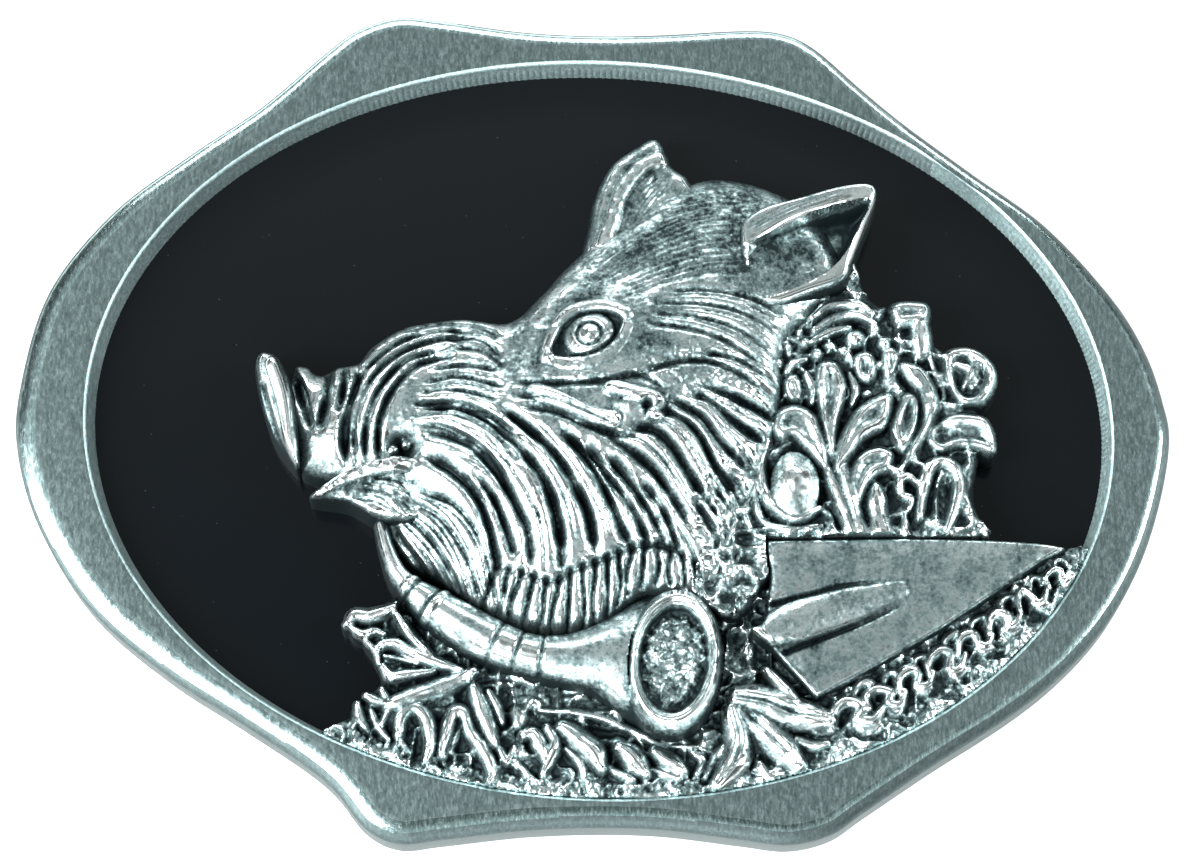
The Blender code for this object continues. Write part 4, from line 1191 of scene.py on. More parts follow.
# %% Hunting horn
BELL_RIM = 0.34
BELL_RIM_DROP = 3.2
BELL_SINK = 1.3


def horn_footprint(where):
    """The deeper of two depths: inside the tube, and inside the bell's outer oval."""
    gap, along, half = horn_measure(where)
    outer, _ = bell_measure(where)
    return np.maximum(np.where(along < HORN_END, half - gap, -1), (1 - outer) * BELL_HALF[0] * PITCH)


def horn_tube(where):
    """Half an ellipse across, up to the crest, less a bell curve at each groove, more one at each ring."""
    gap, along, half = horn_measure(where)
    crest = np.interp(along, *HORN_CREST)
    tube = HORN_FOOT + (crest - HORN_FOOT) * hump(gap, half)
    for place in HORN_GROOVES:
        tube -= GROOVE_DEPTH * bell_curve(along - place, GROOVE_WIDTH)
    for place, rise, _ in HORN_RINGS:
        tube += rise * bell_curve(along - place, 0.13, power=4)
    return tube


def horn_height(where):
    """The tube, and over it the bell: a rounded rim with a lip, and a rough floor sunk inside its mouth."""
    tube = horn_tube(where)
    outer, mouth = bell_measure(where)
    rim = BELL_LEVEL + 0.1 - BELL_RIM_DROP * (1 - round_over(1 - outer, BELL_RIM))
    lip = 0.30 * bell_curve(mouth - 1.10, 0.06) - 0.35 * bell_curve(mouth - 0.98, 0.05)
    floor = BELL_LEVEL - BELL_SINK + 0.40 * grain(where, 0.55, 11) + 0.25 * grain(where, 0.22, 12)
    sunk = np.clip((0.97 - mouth) / 0.10, 0, 1)
    bell = (rim + lip) * (1 - sunk) + floor * sunk
    west = where[:, 0] < drawn(BELL_CENTRE, BELL_LEVEL)[0]
    height = np.where(outer < 1, np.maximum(bell, np.where(west & (mouth > 1.2), tube, HORN_FOOT)), tube)
    return height + 0.03 * grain(where, 0.5, 10)


horn_low, horn_high = drawn((350, 760), HORN_LEVEL), drawn((745, 500), HORN_LEVEL)
raised_piece("hunting_horn", raised(horn_footprint, horn_height, horn_low, horn_high, 0.10))

# %% [markdown]
# ## The spearhead
# The blade is almost flat, and its socket is a cone that sinks into the blade, with a furrow on either
# side. A few straps lie across its root. The grid serves here too, so that its edge meets the leaves'
# ground.

# %% Spearhead
SPEARHEAD = [
    (767, 541), (775, 539), (830, 538), (900, 537), (970, 538), (1030, 541), (1060, 545), (1066, 548),
    (1056, 554), (1040, 563), (990, 597), (940, 630), (890, 659), (840, 686), (820, 697), (814, 696),
    (800, 680), (772, 650), (750, 633), (764, 620), (770, 580),
]
SOCKET = [(758, 634), (800, 620), (850, 604), (900, 589)]
SOCKET_HALF = [15, 23, 19, 9]
SPEAR_GROOVES = [
    [(772, 603), (810, 594), (845, 585), (890, 579)],
    [(786, 651), (815, 640), (855, 625), (907, 602)],
]
SPEAR_GROOVE_DEPTH, SPEAR_GROOVE_WIDTH = 0.65, 0.20
STRAPS = [
    [(733, 612), (748, 622), (770, 645), (792, 670), (815, 693)],
    [(722, 672), (738, 646), (752, 626)],
    [(712, 642), (718, 630), (738, 627)],
    [(766, 548), (766, 580), (768, 604)],
]
BLADE_OUTLINE_LEVEL, BLADE_LEVEL, BLADE_CROWN = 3.2, 3.1, 0.25
SOCKET_RISE = 0.95
blade_line = smooth_line(drawn(SPEARHEAD, BLADE_OUTLINE_LEVEL), True)


def blade_top(where):
    """A slightly crowned blade; the socket swells by half an ellipse that fades out along it."""
    gap, along = nearest_on(smooth_line(drawn(SOCKET, 3.6)), where)
    half = np.interp(along, np.linspace(0, 1, len(SOCKET)), SOCKET_HALF) * PITCH
    height = BLADE_LEVEL + BLADE_CROWN * round_over(depth_inside(blade_line, where), 2.5)
    height += SOCKET_RISE * hump(gap, half) * np.clip(1.15 - along, 0, 1)
    for groove in SPEAR_GROOVES:
        gap, along = nearest_on(smooth_line(drawn(groove, 3.5)), where)
        height -= SPEAR_GROOVE_DEPTH * (1 - along) ** 0.7 * bell_curve(gap, SPEAR_GROOVE_WIDTH)
    for strap in STRAPS:
        height = ridged(height, where, smooth_line(drawn(strap, 3.6)), 0.25, 0.35)
    return height + 0.03 * grain(where, 0.6, 13) + 0.025 * grain(where, 0.2, 14)


raised_piece("spearhead", figure(SPEARHEAD, BLADE_OUTLINE_LEVEL, blade_top, 0.10, 0.30, keep=0.80))

# %% [markdown]
# ## Oak leaves
# Oak leaves fill the ground behind the neck and under the horn. They are cast as one carpet: a rough
# ground, on it leaf lobes hollowed like spoons, and rolled rims and ribs laid as strokes that taper at
# both ends. The carpet takes the highest of them at each place. Single leaves as meshes of their own
# would cross one another and hide their undersides in the metal, while one height for each place leaves
# nothing inside.

# %% Strokes, lobes and lumps
LEAF_DROP = 1.15
STROKE_SPREAD = 1.9
LOBE_SPREAD = 0.28
LOBE_RIM = 0.95
LOBE_HOLLOW_FROM, LOBE_HOLLOW_WIDTH = 0.45, 0.9
LUMP_SPREAD = 1.30
NOTHING = -1.0


def stroke_height(where, points, half, level, grooved):
    """A rounded ridge: a parabola across, its width tapering as a root of a sine towards both ends."""
    line = smooth_line(drawn(points, level), steps=5)
    gap, along = nearest_on(line, where, reach=STROKE_SPREAD * half * PITCH + 0.1)
    wide = STROKE_SPREAD * half * PITCH * np.sqrt(np.sin(math.pi * np.clip(0.14 + 0.76 * along, 0, 1)))
    height = level - LEAF_DROP * np.minimum(gap / wide, 1) ** 2
    height -= grooved * bell_curve(gap, 0.22)
    return np.where(gap < wide, height, NOTHING), wide - gap


def lobe_height(where, points, level, cup):
    """A leaf lobe: it rises to a rolled rim and sinks again towards its middle, like a spoon."""
    depth = LOBE_SPREAD + depth_inside(smooth_line(drawn(points, level), True, 5), where, reach=0.5)
    rim = np.clip(1 - depth / LOBE_RIM, 0, 1) ** 2
    inward = np.clip((depth - LOBE_HOLLOW_FROM) / LOBE_HOLLOW_WIDTH, 0, 1)
    height = level - LEAF_DROP * rim - cup * (0.5 - 0.5 * np.cos(inward * math.pi))
    return np.where(depth > 0, height, NOTHING), depth


def lump_height(where, centre, half, level):
    """An oval berry or bud: a parabola of the distance from its centre, counted in half sizes."""
    offset = (where - drawn(centre, level)) / (np.array(half) * PITCH * LUMP_SPREAD)
    gap = np.hypot(*offset.T)
    return np.where(gap < 1, level - LEAF_DROP * gap**2, NOTHING), (1 - gap) * min(half) * PITCH


# %% A carpet of leaves
LEAF_SWAY = 0.55
LEAF_SWAY_MM = 1.5
UNDER_BLADE = 2.4
AT_THE_OVAL = 1.2
oval_low = oval_line(240)


def carpet(name, outline, lift, ground, strokes, lobes, lumps, cell):
    """One raised figure: the ground's outline joined with all its leaves, and the highest as its top."""
    line = smooth_line(drawn(outline, lift), True)

    def pieces(where):
        for points, half, level, grooved in strokes:
            yield stroke_height(where, points, half, level, grooved)
        for points, level, cup in lobes:
            yield lobe_height(where, points, level, cup)
        for centre, half, level in lumps:
            yield lump_height(where, centre, half, level)

    def footprint(where):
        depth = depth_inside(line, where)
        for _, inside in pieces(where):
            depth = np.maximum(depth, np.where(np.abs(inside) < FAR / 10, inside, -UNDER_ALL))
        return depth

    def height(where):
        depth = depth_inside(line, where)
        top = ground(where) * (0.55 + 0.45 * round_over(depth, 0.6))
        for raised_here, _ in pieces(where):
            top = np.maximum(top, raised_here)
        top += LEAF_SWAY * grain(where, LEAF_SWAY_MM, 31) + 0.05 * grain(where, 0.35, 25)
        top = np.where(depth_inside(blade_line, where) > -0.1, np.minimum(top, UNDER_BLADE), top)
        return np.where(depth_inside(oval_low, where) < 0.0, np.minimum(top, AT_THE_OVAL), top)

    low, high = line.min(0) - 1.0, line.max(0) + 1.0
    return raised_piece(name, raised(footprint, height, low, high, cell))


# %% [markdown]
# ### Leaves behind the neck
# A bouquet of curled leaves, berries and rolled tendrils. Each is traced on its own, so its lobes and
# strokes lie where the photograph shows them, and its levels say which of them lies on top.

# %% Leaves behind the neck
BOUQUET = [
    (848, 262), (868, 298), (888, 312), (895, 318), (928, 340), (944, 352), (962, 350),
    (985, 362), (990, 380), (975, 402), (990, 440), (980, 456), (970, 480), (974, 512),
    (988, 538), (900, 560), (790, 560), (740, 620), (690, 600), (700, 540), (740, 420), (780, 340),
    (806, 300),
]
BOUQUET_STROKES = [
    # points, half width in pixels, level, depth of the groove along it
    ([(920, 514), (924, 484), (931, 465), (942, 459), (954, 465), (960, 480), (957, 502), (947, 531)],
     5, 4.3, 0),
    ([(975, 453), (969, 471), (966, 490), (971, 511), (986, 534)], 4.5, 3.3, 0),
    ([(917, 482), (908, 475), (900, 480), (902, 493), (912, 497), (909, 508)], 4, 4.2, 0),
    ([(957, 363), (971, 370), (964, 386)], 4, 4.2, 0),
    ([(812, 317), (830, 304), (858, 303), (873, 313)], 4.5, 4.6, 0),
    ([(814, 329), (834, 316), (858, 313), (875, 323)], 4.5, 4.4, 0),
    ([(812, 340), (832, 329), (850, 326)], 4, 4.2, 0),
    ([(768, 439), (761, 467), (771, 502), (796, 517), (820, 506)], 4.5, 4.4, 0),
    ([(757, 470), (756, 500), (766, 520), (790, 528), (822, 524)], 4, 3.9, 0),
    ([(745, 480), (744, 508), (756, 534), (790, 540), (830, 536)], 4, 3.5, 0),
    ([(822, 452), (834, 485), (846, 515), (853, 535)], 5, 4.4, 0),
    ([(930, 538), (948, 536), (964, 528)], 4, 3.4, 0),
    ([(890, 466), (898, 470), (904, 464)], 4, 4.4, 0),
    ([(905, 512), (906, 530), (918, 540)], 4.5, 3.9, 0),
    ([(786, 372), (794, 362), (806, 358)], 4.5, 4.0, 0),
    ([(806, 372), (812, 386), (812, 402)], 4.5, 4.2, 0),
    ([(928, 352), (936, 372), (944, 392), (940, 410)], 4, 3.6, 0),
    ([(850, 372), (856, 388), (852, 404)], 4, 4.0, 0),
    ([(730, 484), (716, 500), (706, 524), (712, 548)], 4, 3.8, 0),
    ([(736, 520), (726, 544), (716, 570)], 4.5, 3.6, 0),
    ([(742, 548), (734, 566), (722, 586)], 4, 3.4, 0),
]
BOUQUET_LOBES = [
    # outline, level, depth of its hollow
    ([(818, 367), (825, 360), (836, 361), (843, 372), (845, 388), (840, 414), (837, 435), (836, 453),
      (829, 453), (826, 439), (821, 417), (817, 388)], 4.5, 0.6),
    ([(830, 453), (839, 482), (848, 511), (857, 535), (870, 533), (860, 497), (852, 470), (848, 453)],
     4.4, 0.0),
    ([(890, 392), (877, 395), (861, 406), (847, 424), (836, 453), (838, 468), (852, 453), (863, 436),
      (872, 429), (880, 425), (888, 417), (892, 403)], 4.9, 0.35),
    ([(892, 450), (881, 444), (866, 448), (854, 460), (850, 482), (859, 504), (868, 484), (877, 472),
      (887, 468), (893, 459)], 4.6, 0.5),
    ([(874, 481), (868, 497), (870, 515), (877, 534), (894, 534), (888, 511), (885, 493), (881, 482)],
     4.6, 0.1),
    ([(919, 396), (908, 391), (899, 403), (893, 421), (895, 436), (902, 448), (913, 436), (920, 417)],
     4.6, 0.7),
    ([(902, 361), (920, 364), (933, 380), (938, 399), (934, 421), (922, 440), (910, 457), (904, 461),
      (914, 440), (921, 424), (923, 406), (917, 386), (906, 371)], 4.7, 0.25),
    ([(947, 352), (960, 346), (975, 348), (989, 357), (996, 372), (993, 388), (982, 401), (968, 403),
      (958, 398), (950, 385), (945, 370)], 4.2, 0.9),
    ([(930, 425), (946, 415), (964, 412), (982, 414), (991, 423), (996, 439), (993, 449), (975, 445),
      (957, 445), (942, 450), (928, 440)], 4.3, 0.7),
    ([(771, 424), (780, 408), (798, 403), (814, 412), (823, 435), (830, 458), (822, 464), (808, 448),
      (794, 435), (780, 436)], 4.7, 0.35),
    ([(894, 302), (926, 301), (928, 318), (910, 322), (896, 320)], 4.4, 0.5),
    ([(912, 318), (928, 316), (931, 352), (914, 358)], 4.0, 0.0),
    ([(856, 354), (868, 350), (876, 360), (874, 376), (862, 378), (855, 368)], 4.3, 0.6),
    ([(784, 378), (796, 372), (804, 384), (802, 398), (792, 400), (784, 390)], 4.2, 0.3),
    ([(882, 352), (892, 346), (900, 356), (896, 372), (886, 376)], 4.2, 0.5),
]
BOUQUET_LUMPS = [
    # centre, half sizes in pixels, level
    ((796, 482), (19, 28), 5.2), ((856, 335), (10, 9), 4.4), ((805, 340), (7, 7), 4.2),
    ((817, 352), (7, 8), 4.2), ((874, 328), (7, 7), 4.2), ((884, 342), (7, 8), 4.2),
    ((788, 346), (6, 6), 4.1), ((830, 344), (7, 6), 4.2), ((843, 350), (6, 7), 4.1),
    ((880, 364), (6, 6), 4.0), ((800, 330), (6, 6), 4.0), ((770, 386), (6, 8), 4.2),
    ((778, 362), (6, 7), 4.2), ((868, 392), (6, 5), 4.2), ((944, 520), (7, 8), 3.4),
    ((760, 556), (9, 6), 3.4), ((728, 600), (8, 8), 3.2),
]


def bouquet_ground(where):
    """A level with curling crests and finer noise on it."""
    return 3.1 + 0.7 * crests(where, 1.3, 21) + 0.25 * grain(where, 0.35, 22)


carpet("oak_leaves", BOUQUET, 2.2, bouquet_ground, BOUQUET_STROKES, BOUQUET_LOBES, BOUQUET_LUMPS, 0.10)

# %% [markdown]
# ### Leaves under the horn
# A band of leaves follows the oval's lower edge. Under the spearhead it turns into a row of scrolls, so
# regular on the casting that a loop lays them along a line, each with chance in its size and its points,
# as hand modelling gives. Small beads edge the band along the oval.

# %% Outline and strokes of the band
GROUND = [
    (322, 735), (335, 724), (352, 716), (364, 700), (380, 684), (378, 662), (374, 646),
    (358, 637), (350, 624), (356, 613), (380, 605), (400, 598), (450, 620), (560, 630),
    (690, 590), (780, 590), (900, 620), (1040, 562), (1074, 546), (1100, 560), (1070, 640), (1000, 704),
    (900, 762), (780, 800), (660, 814), (540, 812), (430, 792), (360, 766),
]
BAND_STROKES = [
    ([(347, 622), (354, 613), (367, 614), (379, 611), (394, 606)], 5.5, 3.3, 0),
    ([(350, 626), (362, 633), (374, 629), (384, 633)], 4, 2.9, 0),
    ([(380, 643), (393, 641), (410, 650), (433, 660), (460, 668)], 5, 3.3, 0),
    ([(382, 664), (391, 675), (410, 673), (434, 670)], 4.5, 3.0, 0),
    ([(397, 614), (413, 636), (433, 657)], 4.5, 3.2, 0),
    ([(384, 654), (400, 657), (418, 664)], 3, 2.8, 0),
    ([(366, 640), (376, 650), (378, 662)], 3.5, 2.7, 0),
    ([(388, 703), (417, 694), (447, 682), (474, 670)], 7, 3.3, 0),
    ([(366, 694), (377, 700), (390, 703)], 4.5, 2.8, 0),
    ([(357, 703), (360, 717), (368, 730)], 5, 2.4, 0),
    ([(381, 688), (388, 704), (382, 722)], 4.5, 2.7, 0),
    ([(371, 708), (378, 724), (388, 738)], 4.5, 2.5, 0),
    ([(398, 732), (402, 714), (414, 706), (425, 715), (430, 737), (426, 758)], 5.5, 3.1, 0),
    ([(392, 720), (400, 740), (412, 752)], 4, 2.3, 0),
    ([(350, 722), (356, 736), (366, 746)], 4.5, 2.1, 0),
    ([(442, 752), (447, 728), (453, 711), (463, 711), (470, 728), (483, 748), (492, 770), (489, 782)],
     5.5, 3.1, 0),
    ([(462, 722), (456, 738), (450, 752)], 3.5, 2.5, 0),
    ([(474, 687), (481, 707), (488, 727), (494, 742)], 6.5, 3.2, 0),
    ([(488, 690), (497, 706), (502, 722)], 4, 2.9, 0),
    ([(487, 748), (498, 747), (507, 760), (514, 746)], 4, 2.6, 0),
    ([(523, 733), (533, 732), (542, 747), (545, 760)], 5.5, 3.0, 0),
    ([(547, 726), (555, 741), (550, 757), (543, 771)], 5, 3.0, 0),
    ([(563, 726), (580, 738), (593, 750), (602, 765)], 8, 3.2, 0),
    ([(566, 748), (580, 761), (584, 778)], 4.5, 2.6, 0),
    ([(620, 746), (634, 757), (646, 771)], 7.5, 3.1, 0),
    ([(606, 764), (620, 773), (634, 779)], 4.5, 2.5, 0),
    ([(655, 750), (670, 760), (683, 769)], 7, 3.0, 0),
    ([(652, 768), (667, 774), (681, 778)], 4, 2.5, 0),
    ([(540, 709), (587, 714), (627, 727), (660, 744), (697, 747)], 4.5, 2.4, 0),
    ([(737, 694), (767, 699), (797, 711), (829, 717)], 10, 3.6, 0.35),
    ([(767, 668), (783, 686), (801, 704)], 5, 3.2, 0),
    ([(742, 706), (760, 723), (780, 742), (798, 761)], 10, 3.3, 0.35),
    ([(732, 708), (740, 736), (733, 760), (718, 781)], 9, 3.3, 0.3),
    ([(724, 745), (713, 762), (706, 776)], 5, 2.7, 0),
    ([(693, 752), (703, 760), (697, 774)], 4.5, 2.6, 0),
    ([(797, 738), (812, 744), (828, 742)], 5, 2.7, 0),
    ([(806, 728), (822, 732), (838, 728)], 4.5, 2.6, 0),
    ([(517, 762), (526, 772), (536, 780)], 4, 2.3, 0),
    ([(427, 762), (436, 774), (448, 780)], 4, 2.2, 0),
    ([(760, 762), (768, 774), (778, 780)], 4.5, 2.4, 0),
]
BAND_LOBES = [
    ([(509, 707), (520, 704), (528, 714), (524, 726), (512, 726)], 2.6, 0.0),
    ([(610, 738), (620, 734), (630, 742), (622, 752), (612, 750)], 2.5, 0.0),
]

# %% Scroll row and border beads
SCROLL_ROW = [(838, 720), (882, 697), (936, 664), (990, 627), (1036, 594), (1070, 562)]
SCROLL_COUNT = 8
SCROLL_SIZES = (1.45, 0.85)
SCROLL_JITTER = 1.3
SCROLL_PARTS = [
    # points in pixels along and beside the row, half width, level
    ([(-17, 4), (-11, -7), (0, -9), (6, -1), (1, 6), (8, 10), (17, 5)], 3.9, 2.9),
    ([(-3, 8), (2, 13), (10, 15)], 4.2, 2.6),
    ([(4, -8), (11, -14), (19, -11), (17, -4)], 3.4, 2.5),
]
BEAD_STEP = 8.5
BEAD_RADIUS, BEAD_FOOT, BEAD_RISE, BEAD_STRAY = 0.34, 1.3, 0.75, 0.08
BEAD_LINE = 0.965
BEAD_FROM, BEAD_TO = (333, 741), (1080, 572)
OVAL_STEPS = 720


def scroll_strokes():
    """A row of S-shaped curls along the line under the spearhead, each with a curl and a leaf beside it."""
    line = evenly(smooth_line(np.array(SCROLL_ROW, float)), 2 * SCROLL_COUNT + 1)
    run = np.gradient(line, axis=0)
    run /= np.hypot(*run.T)[:, None]
    side = np.stack([-run[:, 1], run[:, 0]], -1)
    made = []
    random = np.random.default_rng(9)
    for k, size in zip(range(1, 2 * SCROLL_COUNT, 2), np.linspace(*SCROLL_SIZES, SCROLL_COUNT)):
        size *= random.uniform(0.88, 1.12)
        for shape, half, level in SCROLL_PARTS:
            marks = np.array(shape, float) * size + random.normal(0, SCROLL_JITTER, (len(shape), 2))
            points = line[k] + marks[:, :1] * run[k] + marks[:, 1:] * side[k]
            made.append((points, half * size, level, 0))
    return made


def border_beads():
    """Small beads along the oval, a little inside it, from the left end of the band to its right end."""
    centre = drawn(OVAL_CENTRE)
    line = centre + (oval_line(OVAL_STEPS) - centre) * BEAD_LINE
    first, last = (np.hypot(*(line - drawn(place)).T).argmin() for place in (BEAD_FROM, BEAD_TO))
    line = np.roll(line, -first, 0)[: (last - first) % OVAL_STEPS]
    travelled = np.cumsum(np.hypot(*np.diff(line, axis=0).T)) / PITCH
    random = np.random.default_rng(5)
    places = np.arange(0, travelled[-1], BEAD_STEP)
    return [line[np.searchsorted(travelled, at)] + random.normal(0, BEAD_STRAY, 2) for at in places]


beads = border_beads()
band_strokes = BAND_STROKES + scroll_strokes()
print(len(band_strokes), "strokes and", len(beads), "beads in the band")

# %% Leaves under the horn


def band_ground(where):
    """A level with curling crests and finer noise on it, and a half ellipse for each bead."""
    height = 1.75 + 0.6 * crests(where, 1.1, 23) + 0.3 * grain(where, 0.35, 24)
    for centre in beads:
        gap = np.hypot(*(where - centre).T)
        height = np.maximum(height, BEAD_FOOT + BEAD_RISE * hump(gap, BEAD_RADIUS))
    return height


carpet("leaf_band", GROUND, 1.4, band_ground, band_strokes, BAND_LOBES, [], 0.11)

# %% [markdown]
# ## Frame
# The frame is a flat ring with a serrated wall towards the enamel and a rolled outer edge, broad on the
# left and narrow on the right. A curve swept round the oval would have one section all the way. Here each
# profile point is a whole ring of its own, placed between the oval and the outline, so the band can
# change its width while its edges keep their rounding. The rings run from the foot of the inner wall,
# over the face and the edge, down the side and onto the flat back.

# %% Rings of the frame
RING_STEPS = 1440
INNER_ROUND = 0.32
BACK_ROUND = 0.6
BEVEL, BEVEL_MORE_LEFT, BEVEL_MORE_BELOW = 1.60, 0.35, 0.25
BEVEL_STEPS = 20
SIDE_DROP = 1.0
DRAFT = 0.60
WALL_BELOW_ENAMEL = 0.3
SERRATION = 0.10
STEPS_PER_TOOTH = 3


def inward_of(line):
    """The unit vector across a closed line, towards its inside, at each of its points."""
    run = np.roll(line, -1, 0) - np.roll(line, 1, 0)
    return np.stack([-run[:, 1], run[:, 0]], -1) / np.hypot(*run.T)[:, None]


def wall_teeth(turn):
    """Arches of a sine, three points each, deepest at the upper right and gone at the lower left."""
    arches = np.abs(np.sin(np.arange(RING_STEPS) * math.pi / STEPS_PER_TOOTH))
    return SERRATION * arches * np.clip(0.45 + 0.6 * np.cos(turn - 1.2), 0, 1)


def frame_rings():
    """Each profile point: a share of the way from the oval to the outline, an offset and a height. The
    roundings are quarter circles, and the outer edge a quarter ellipse, bevel wide and SIDE_DROP high."""
    oval, edge = oval_line(RING_STEPS), frame_line(RING_STEPS)
    inward, oval_inward = inward_of(edge), inward_of(oval)
    turn = np.linspace(0, 2 * math.pi, RING_STEPS, endpoint=False)
    bevel = (BEVEL - BEVEL_MORE_LEFT * np.cos(turn) - BEVEL_MORE_BELOW * np.sin(turn))[:, None]
    low = (ENAMEL_Z - FACE_Z) / SCALE - WALL_BELOW_ENAMEL
    quarter = np.linspace(0, math.pi / 2, 7)
    rings = []
    for share in np.linspace(1, 0, 6)[:-1]:
        shift = DRAFT * share + wall_teeth(turn) * math.sin(math.pi * share)
        rings.append((oval + oval_inward * shift[:, None], low * share - INNER_ROUND * (1 - share)))
    for t in quarter:
        line = oval - oval_inward * INNER_ROUND * (1 - math.cos(t))
        rings.append((line, -INNER_ROUND * (1 - math.sin(t))))
    face_start, face_end = oval - oval_inward * INNER_ROUND, edge + inward * bevel
    for share in np.linspace(0, 1, 8)[1:]:
        rings.append((face_start * (1 - share) + face_end * share, 0.0))
    for t in np.linspace(0, math.pi / 2, BEVEL_STEPS)[1:]:
        rings.append((edge + inward * bevel * (1 - math.sin(t)), -SIDE_DROP * (1 - math.cos(t))))
    bottom = -PLATE_THICKNESS / SCALE
    rings.append((edge, bottom + BACK_ROUND))
    for t in quarter[1:]:
        line = edge + inward * BACK_ROUND * (1 - math.cos(t))
        rings.append((line, bottom + BACK_ROUND * (1 - math.sin(t))))
    levels = [FACE_Z + level * SCALE for _, level in rings]
    return [
        np.column_stack([in_metres(line), np.full(RING_STEPS, z)]) for (line, _), z in zip(rings, levels)
    ]


points, faces = skinned(frame_rings()[::-1])
frame_ring = new_object("plate_frame", points, faces, frame_finish)

# %% [markdown]
# ### Which face has which finish
# The face is brushed. Past the polished edge, whose lighter colour is a painted highlight, the side is
# dark, and that dark band starts higher on the right as painted shade, where the edge is seen from its
# shaded side. The oval's wall carries a painted highlight at its right end and painted shade on the rest,
# and the small rounding above it carries a painted highlight all round. A test on each face's middle
# picks its slot.

# %% Finishes of the frame's faces
FACE, SIDE, PAINTED_HIGHLIGHT_WALL, PAINTED_SHADE_WALL, EDGE = range(5)
EDGE_BELOW_FACE = 0.00001
WALL_BELOW_FACE = 0.00002
SIDE_BELOW_FACE = 0.00042
# painted shade: the side's dark finish reaches this much higher on the right
PAINTED_SHADE_HIGHER_RIGHT = 0.00030
PAINTED_HIGHLIGHT_WALL_FROM = 0.027
WALL_FOOT = 0.0004
SLANT, SLANT_WIDTH = 0.7, 0.07


def depth_in_oval(places):
    """How far inside the oval places are, in drawn mm, by the ellipse's own equation."""
    offset = (places - in_metres(drawn(OVAL_CENTRE))) / SCALE
    cosine, sine = math.cos(OVAL_TURN), math.sin(OVAL_TURN)
    along = offset @ [cosine, sine] / OVAL_HALF[0]
    across = offset @ [-sine, cosine] / OVAL_HALF[1]
    return (1 - np.hypot(along, across)) * OVAL_HALF[1]


def frame_slots(middles):
    """The material slot of each face, from how far below the face and inside the oval its middle lies."""
    towards_right = np.clip(0.5 + (middles[:, 0] - SLANT * middles[:, 1]) / SLANT_WIDTH, 0, 1)
    below_face = FACE_Z - middles[:, 2]
    inside = depth_in_oval(middles[:, :2])
    # the upper part of the rolled edge: real polish with a painted highlight
    slots = np.where(below_face > EDGE_BELOW_FACE, EDGE, FACE)
    # the dark side finish, raised on the right bevel as painted shade
    slots[below_face > SIDE_BELOW_FACE - PAINTED_SHADE_HIGHER_RIGHT * towards_right] = SIDE
    # the wall and the small rounding above it take the painted highlight
    slots[(inside > -INNER_ROUND) & (below_face > WALL_BELOW_FACE)] = PAINTED_HIGHLIGHT_WALL
    # left of this the wall takes painted shade instead
    slots[(inside > 0.02) & (middles[:, 0] < PAINTED_HIGHLIGHT_WALL_FROM)] = PAINTED_SHADE_WALL
    slots[middles[:, 2] < ENAMEL_Z - WALL_FOOT] = SIDE
    return slots


for finish in (side_patina_and_shade_finish, painted_highlight_wall_finish, painted_shade_wall_finish, edge_polish_and_highlight_finish):
    frame_ring.data.materials.append(finish)
middles = np.empty(3 * len(frame_ring.data.polygons), np.float32)
frame_ring.data.polygons.foreach_get("center", middles)
slots = frame_slots(middles.reshape(-1, 3))
frame_ring.data.polygons.foreach_set("material_index", slots.astype(np.int32))
print("faces in each finish:", np.bincount(slots).tolist())
stood_up(frame_ring, "casting", sharp=35)

# %% [markdown]
# ## Enamel
# The enamel was poured level and crept up the walls a little as it set. A flat disc would meet the wall
# in a hard line, so rings from the wall to the middle carry the creep, which dies away within a
# millimetre.

# %% Enamel fill
ENAMEL_RINGS = 24
ENAMEL_STEPS = 360
CREEP, CREEP_REACH = 0.10, 0.35
MIDDLE_HOLE = 0.001


def enamel_rings():
    """Rings of the oval from its wall to its middle, their rise falling as e to the minus distance."""
    oval = oval_line(ENAMEL_STEPS)
    middle = oval.mean(0)
    rings = []
    for share in np.linspace(0, 1, ENAMEL_RINGS):
        creep = CREEP * math.exp(-share * OVAL_HALF[1] / CREEP_REACH)
        line = middle + (oval - middle) * (1.0 - (1 - MIDDLE_HOLE) * share**0.8)
        rings.append(np.column_stack([in_metres(line), np.full(ENAMEL_STEPS, ENAMEL_Z + creep * SCALE)]))
    under = rings[0].copy()
    under[:, 2] = enamel_low[2]
    return [under] + rings


points, faces = skinned(enamel_rings())
enamel = new_object("enamel_fill", points, faces, enamel_finish)
stood_up(enamel, "enamel", sharp=40)

# %% [markdown]
# ## Back fittings
# Two cast lugs hold a bent wire loop, and a stud on the other side goes through the belt's hole. They
# aren't seen in the photograph, so they follow such buckles and stay plain. The lugs are stacked sections
# with a bore cut by a boolean, the loop is a round section carried along its path, and the stud is
# turned.

# %% Lugs
LOOP_X = -0.0235
PIN_Z = 0.0030
WIRE = 0.0028
LUG_SIZE = (0.0060, 0.0058)
LUG_Y = 0.0137
BORE = WIRE + 0.0006
LUG_SINK = 0.0003
LUG_STEPS, LUG_LEVELS = 48, 22
SQUARENESS = 0.45
FOOT_TAPER, FOOT_SHARE = 0.30, 0.22
FLARE, FLARE_SHARE = 0.22, 0.20


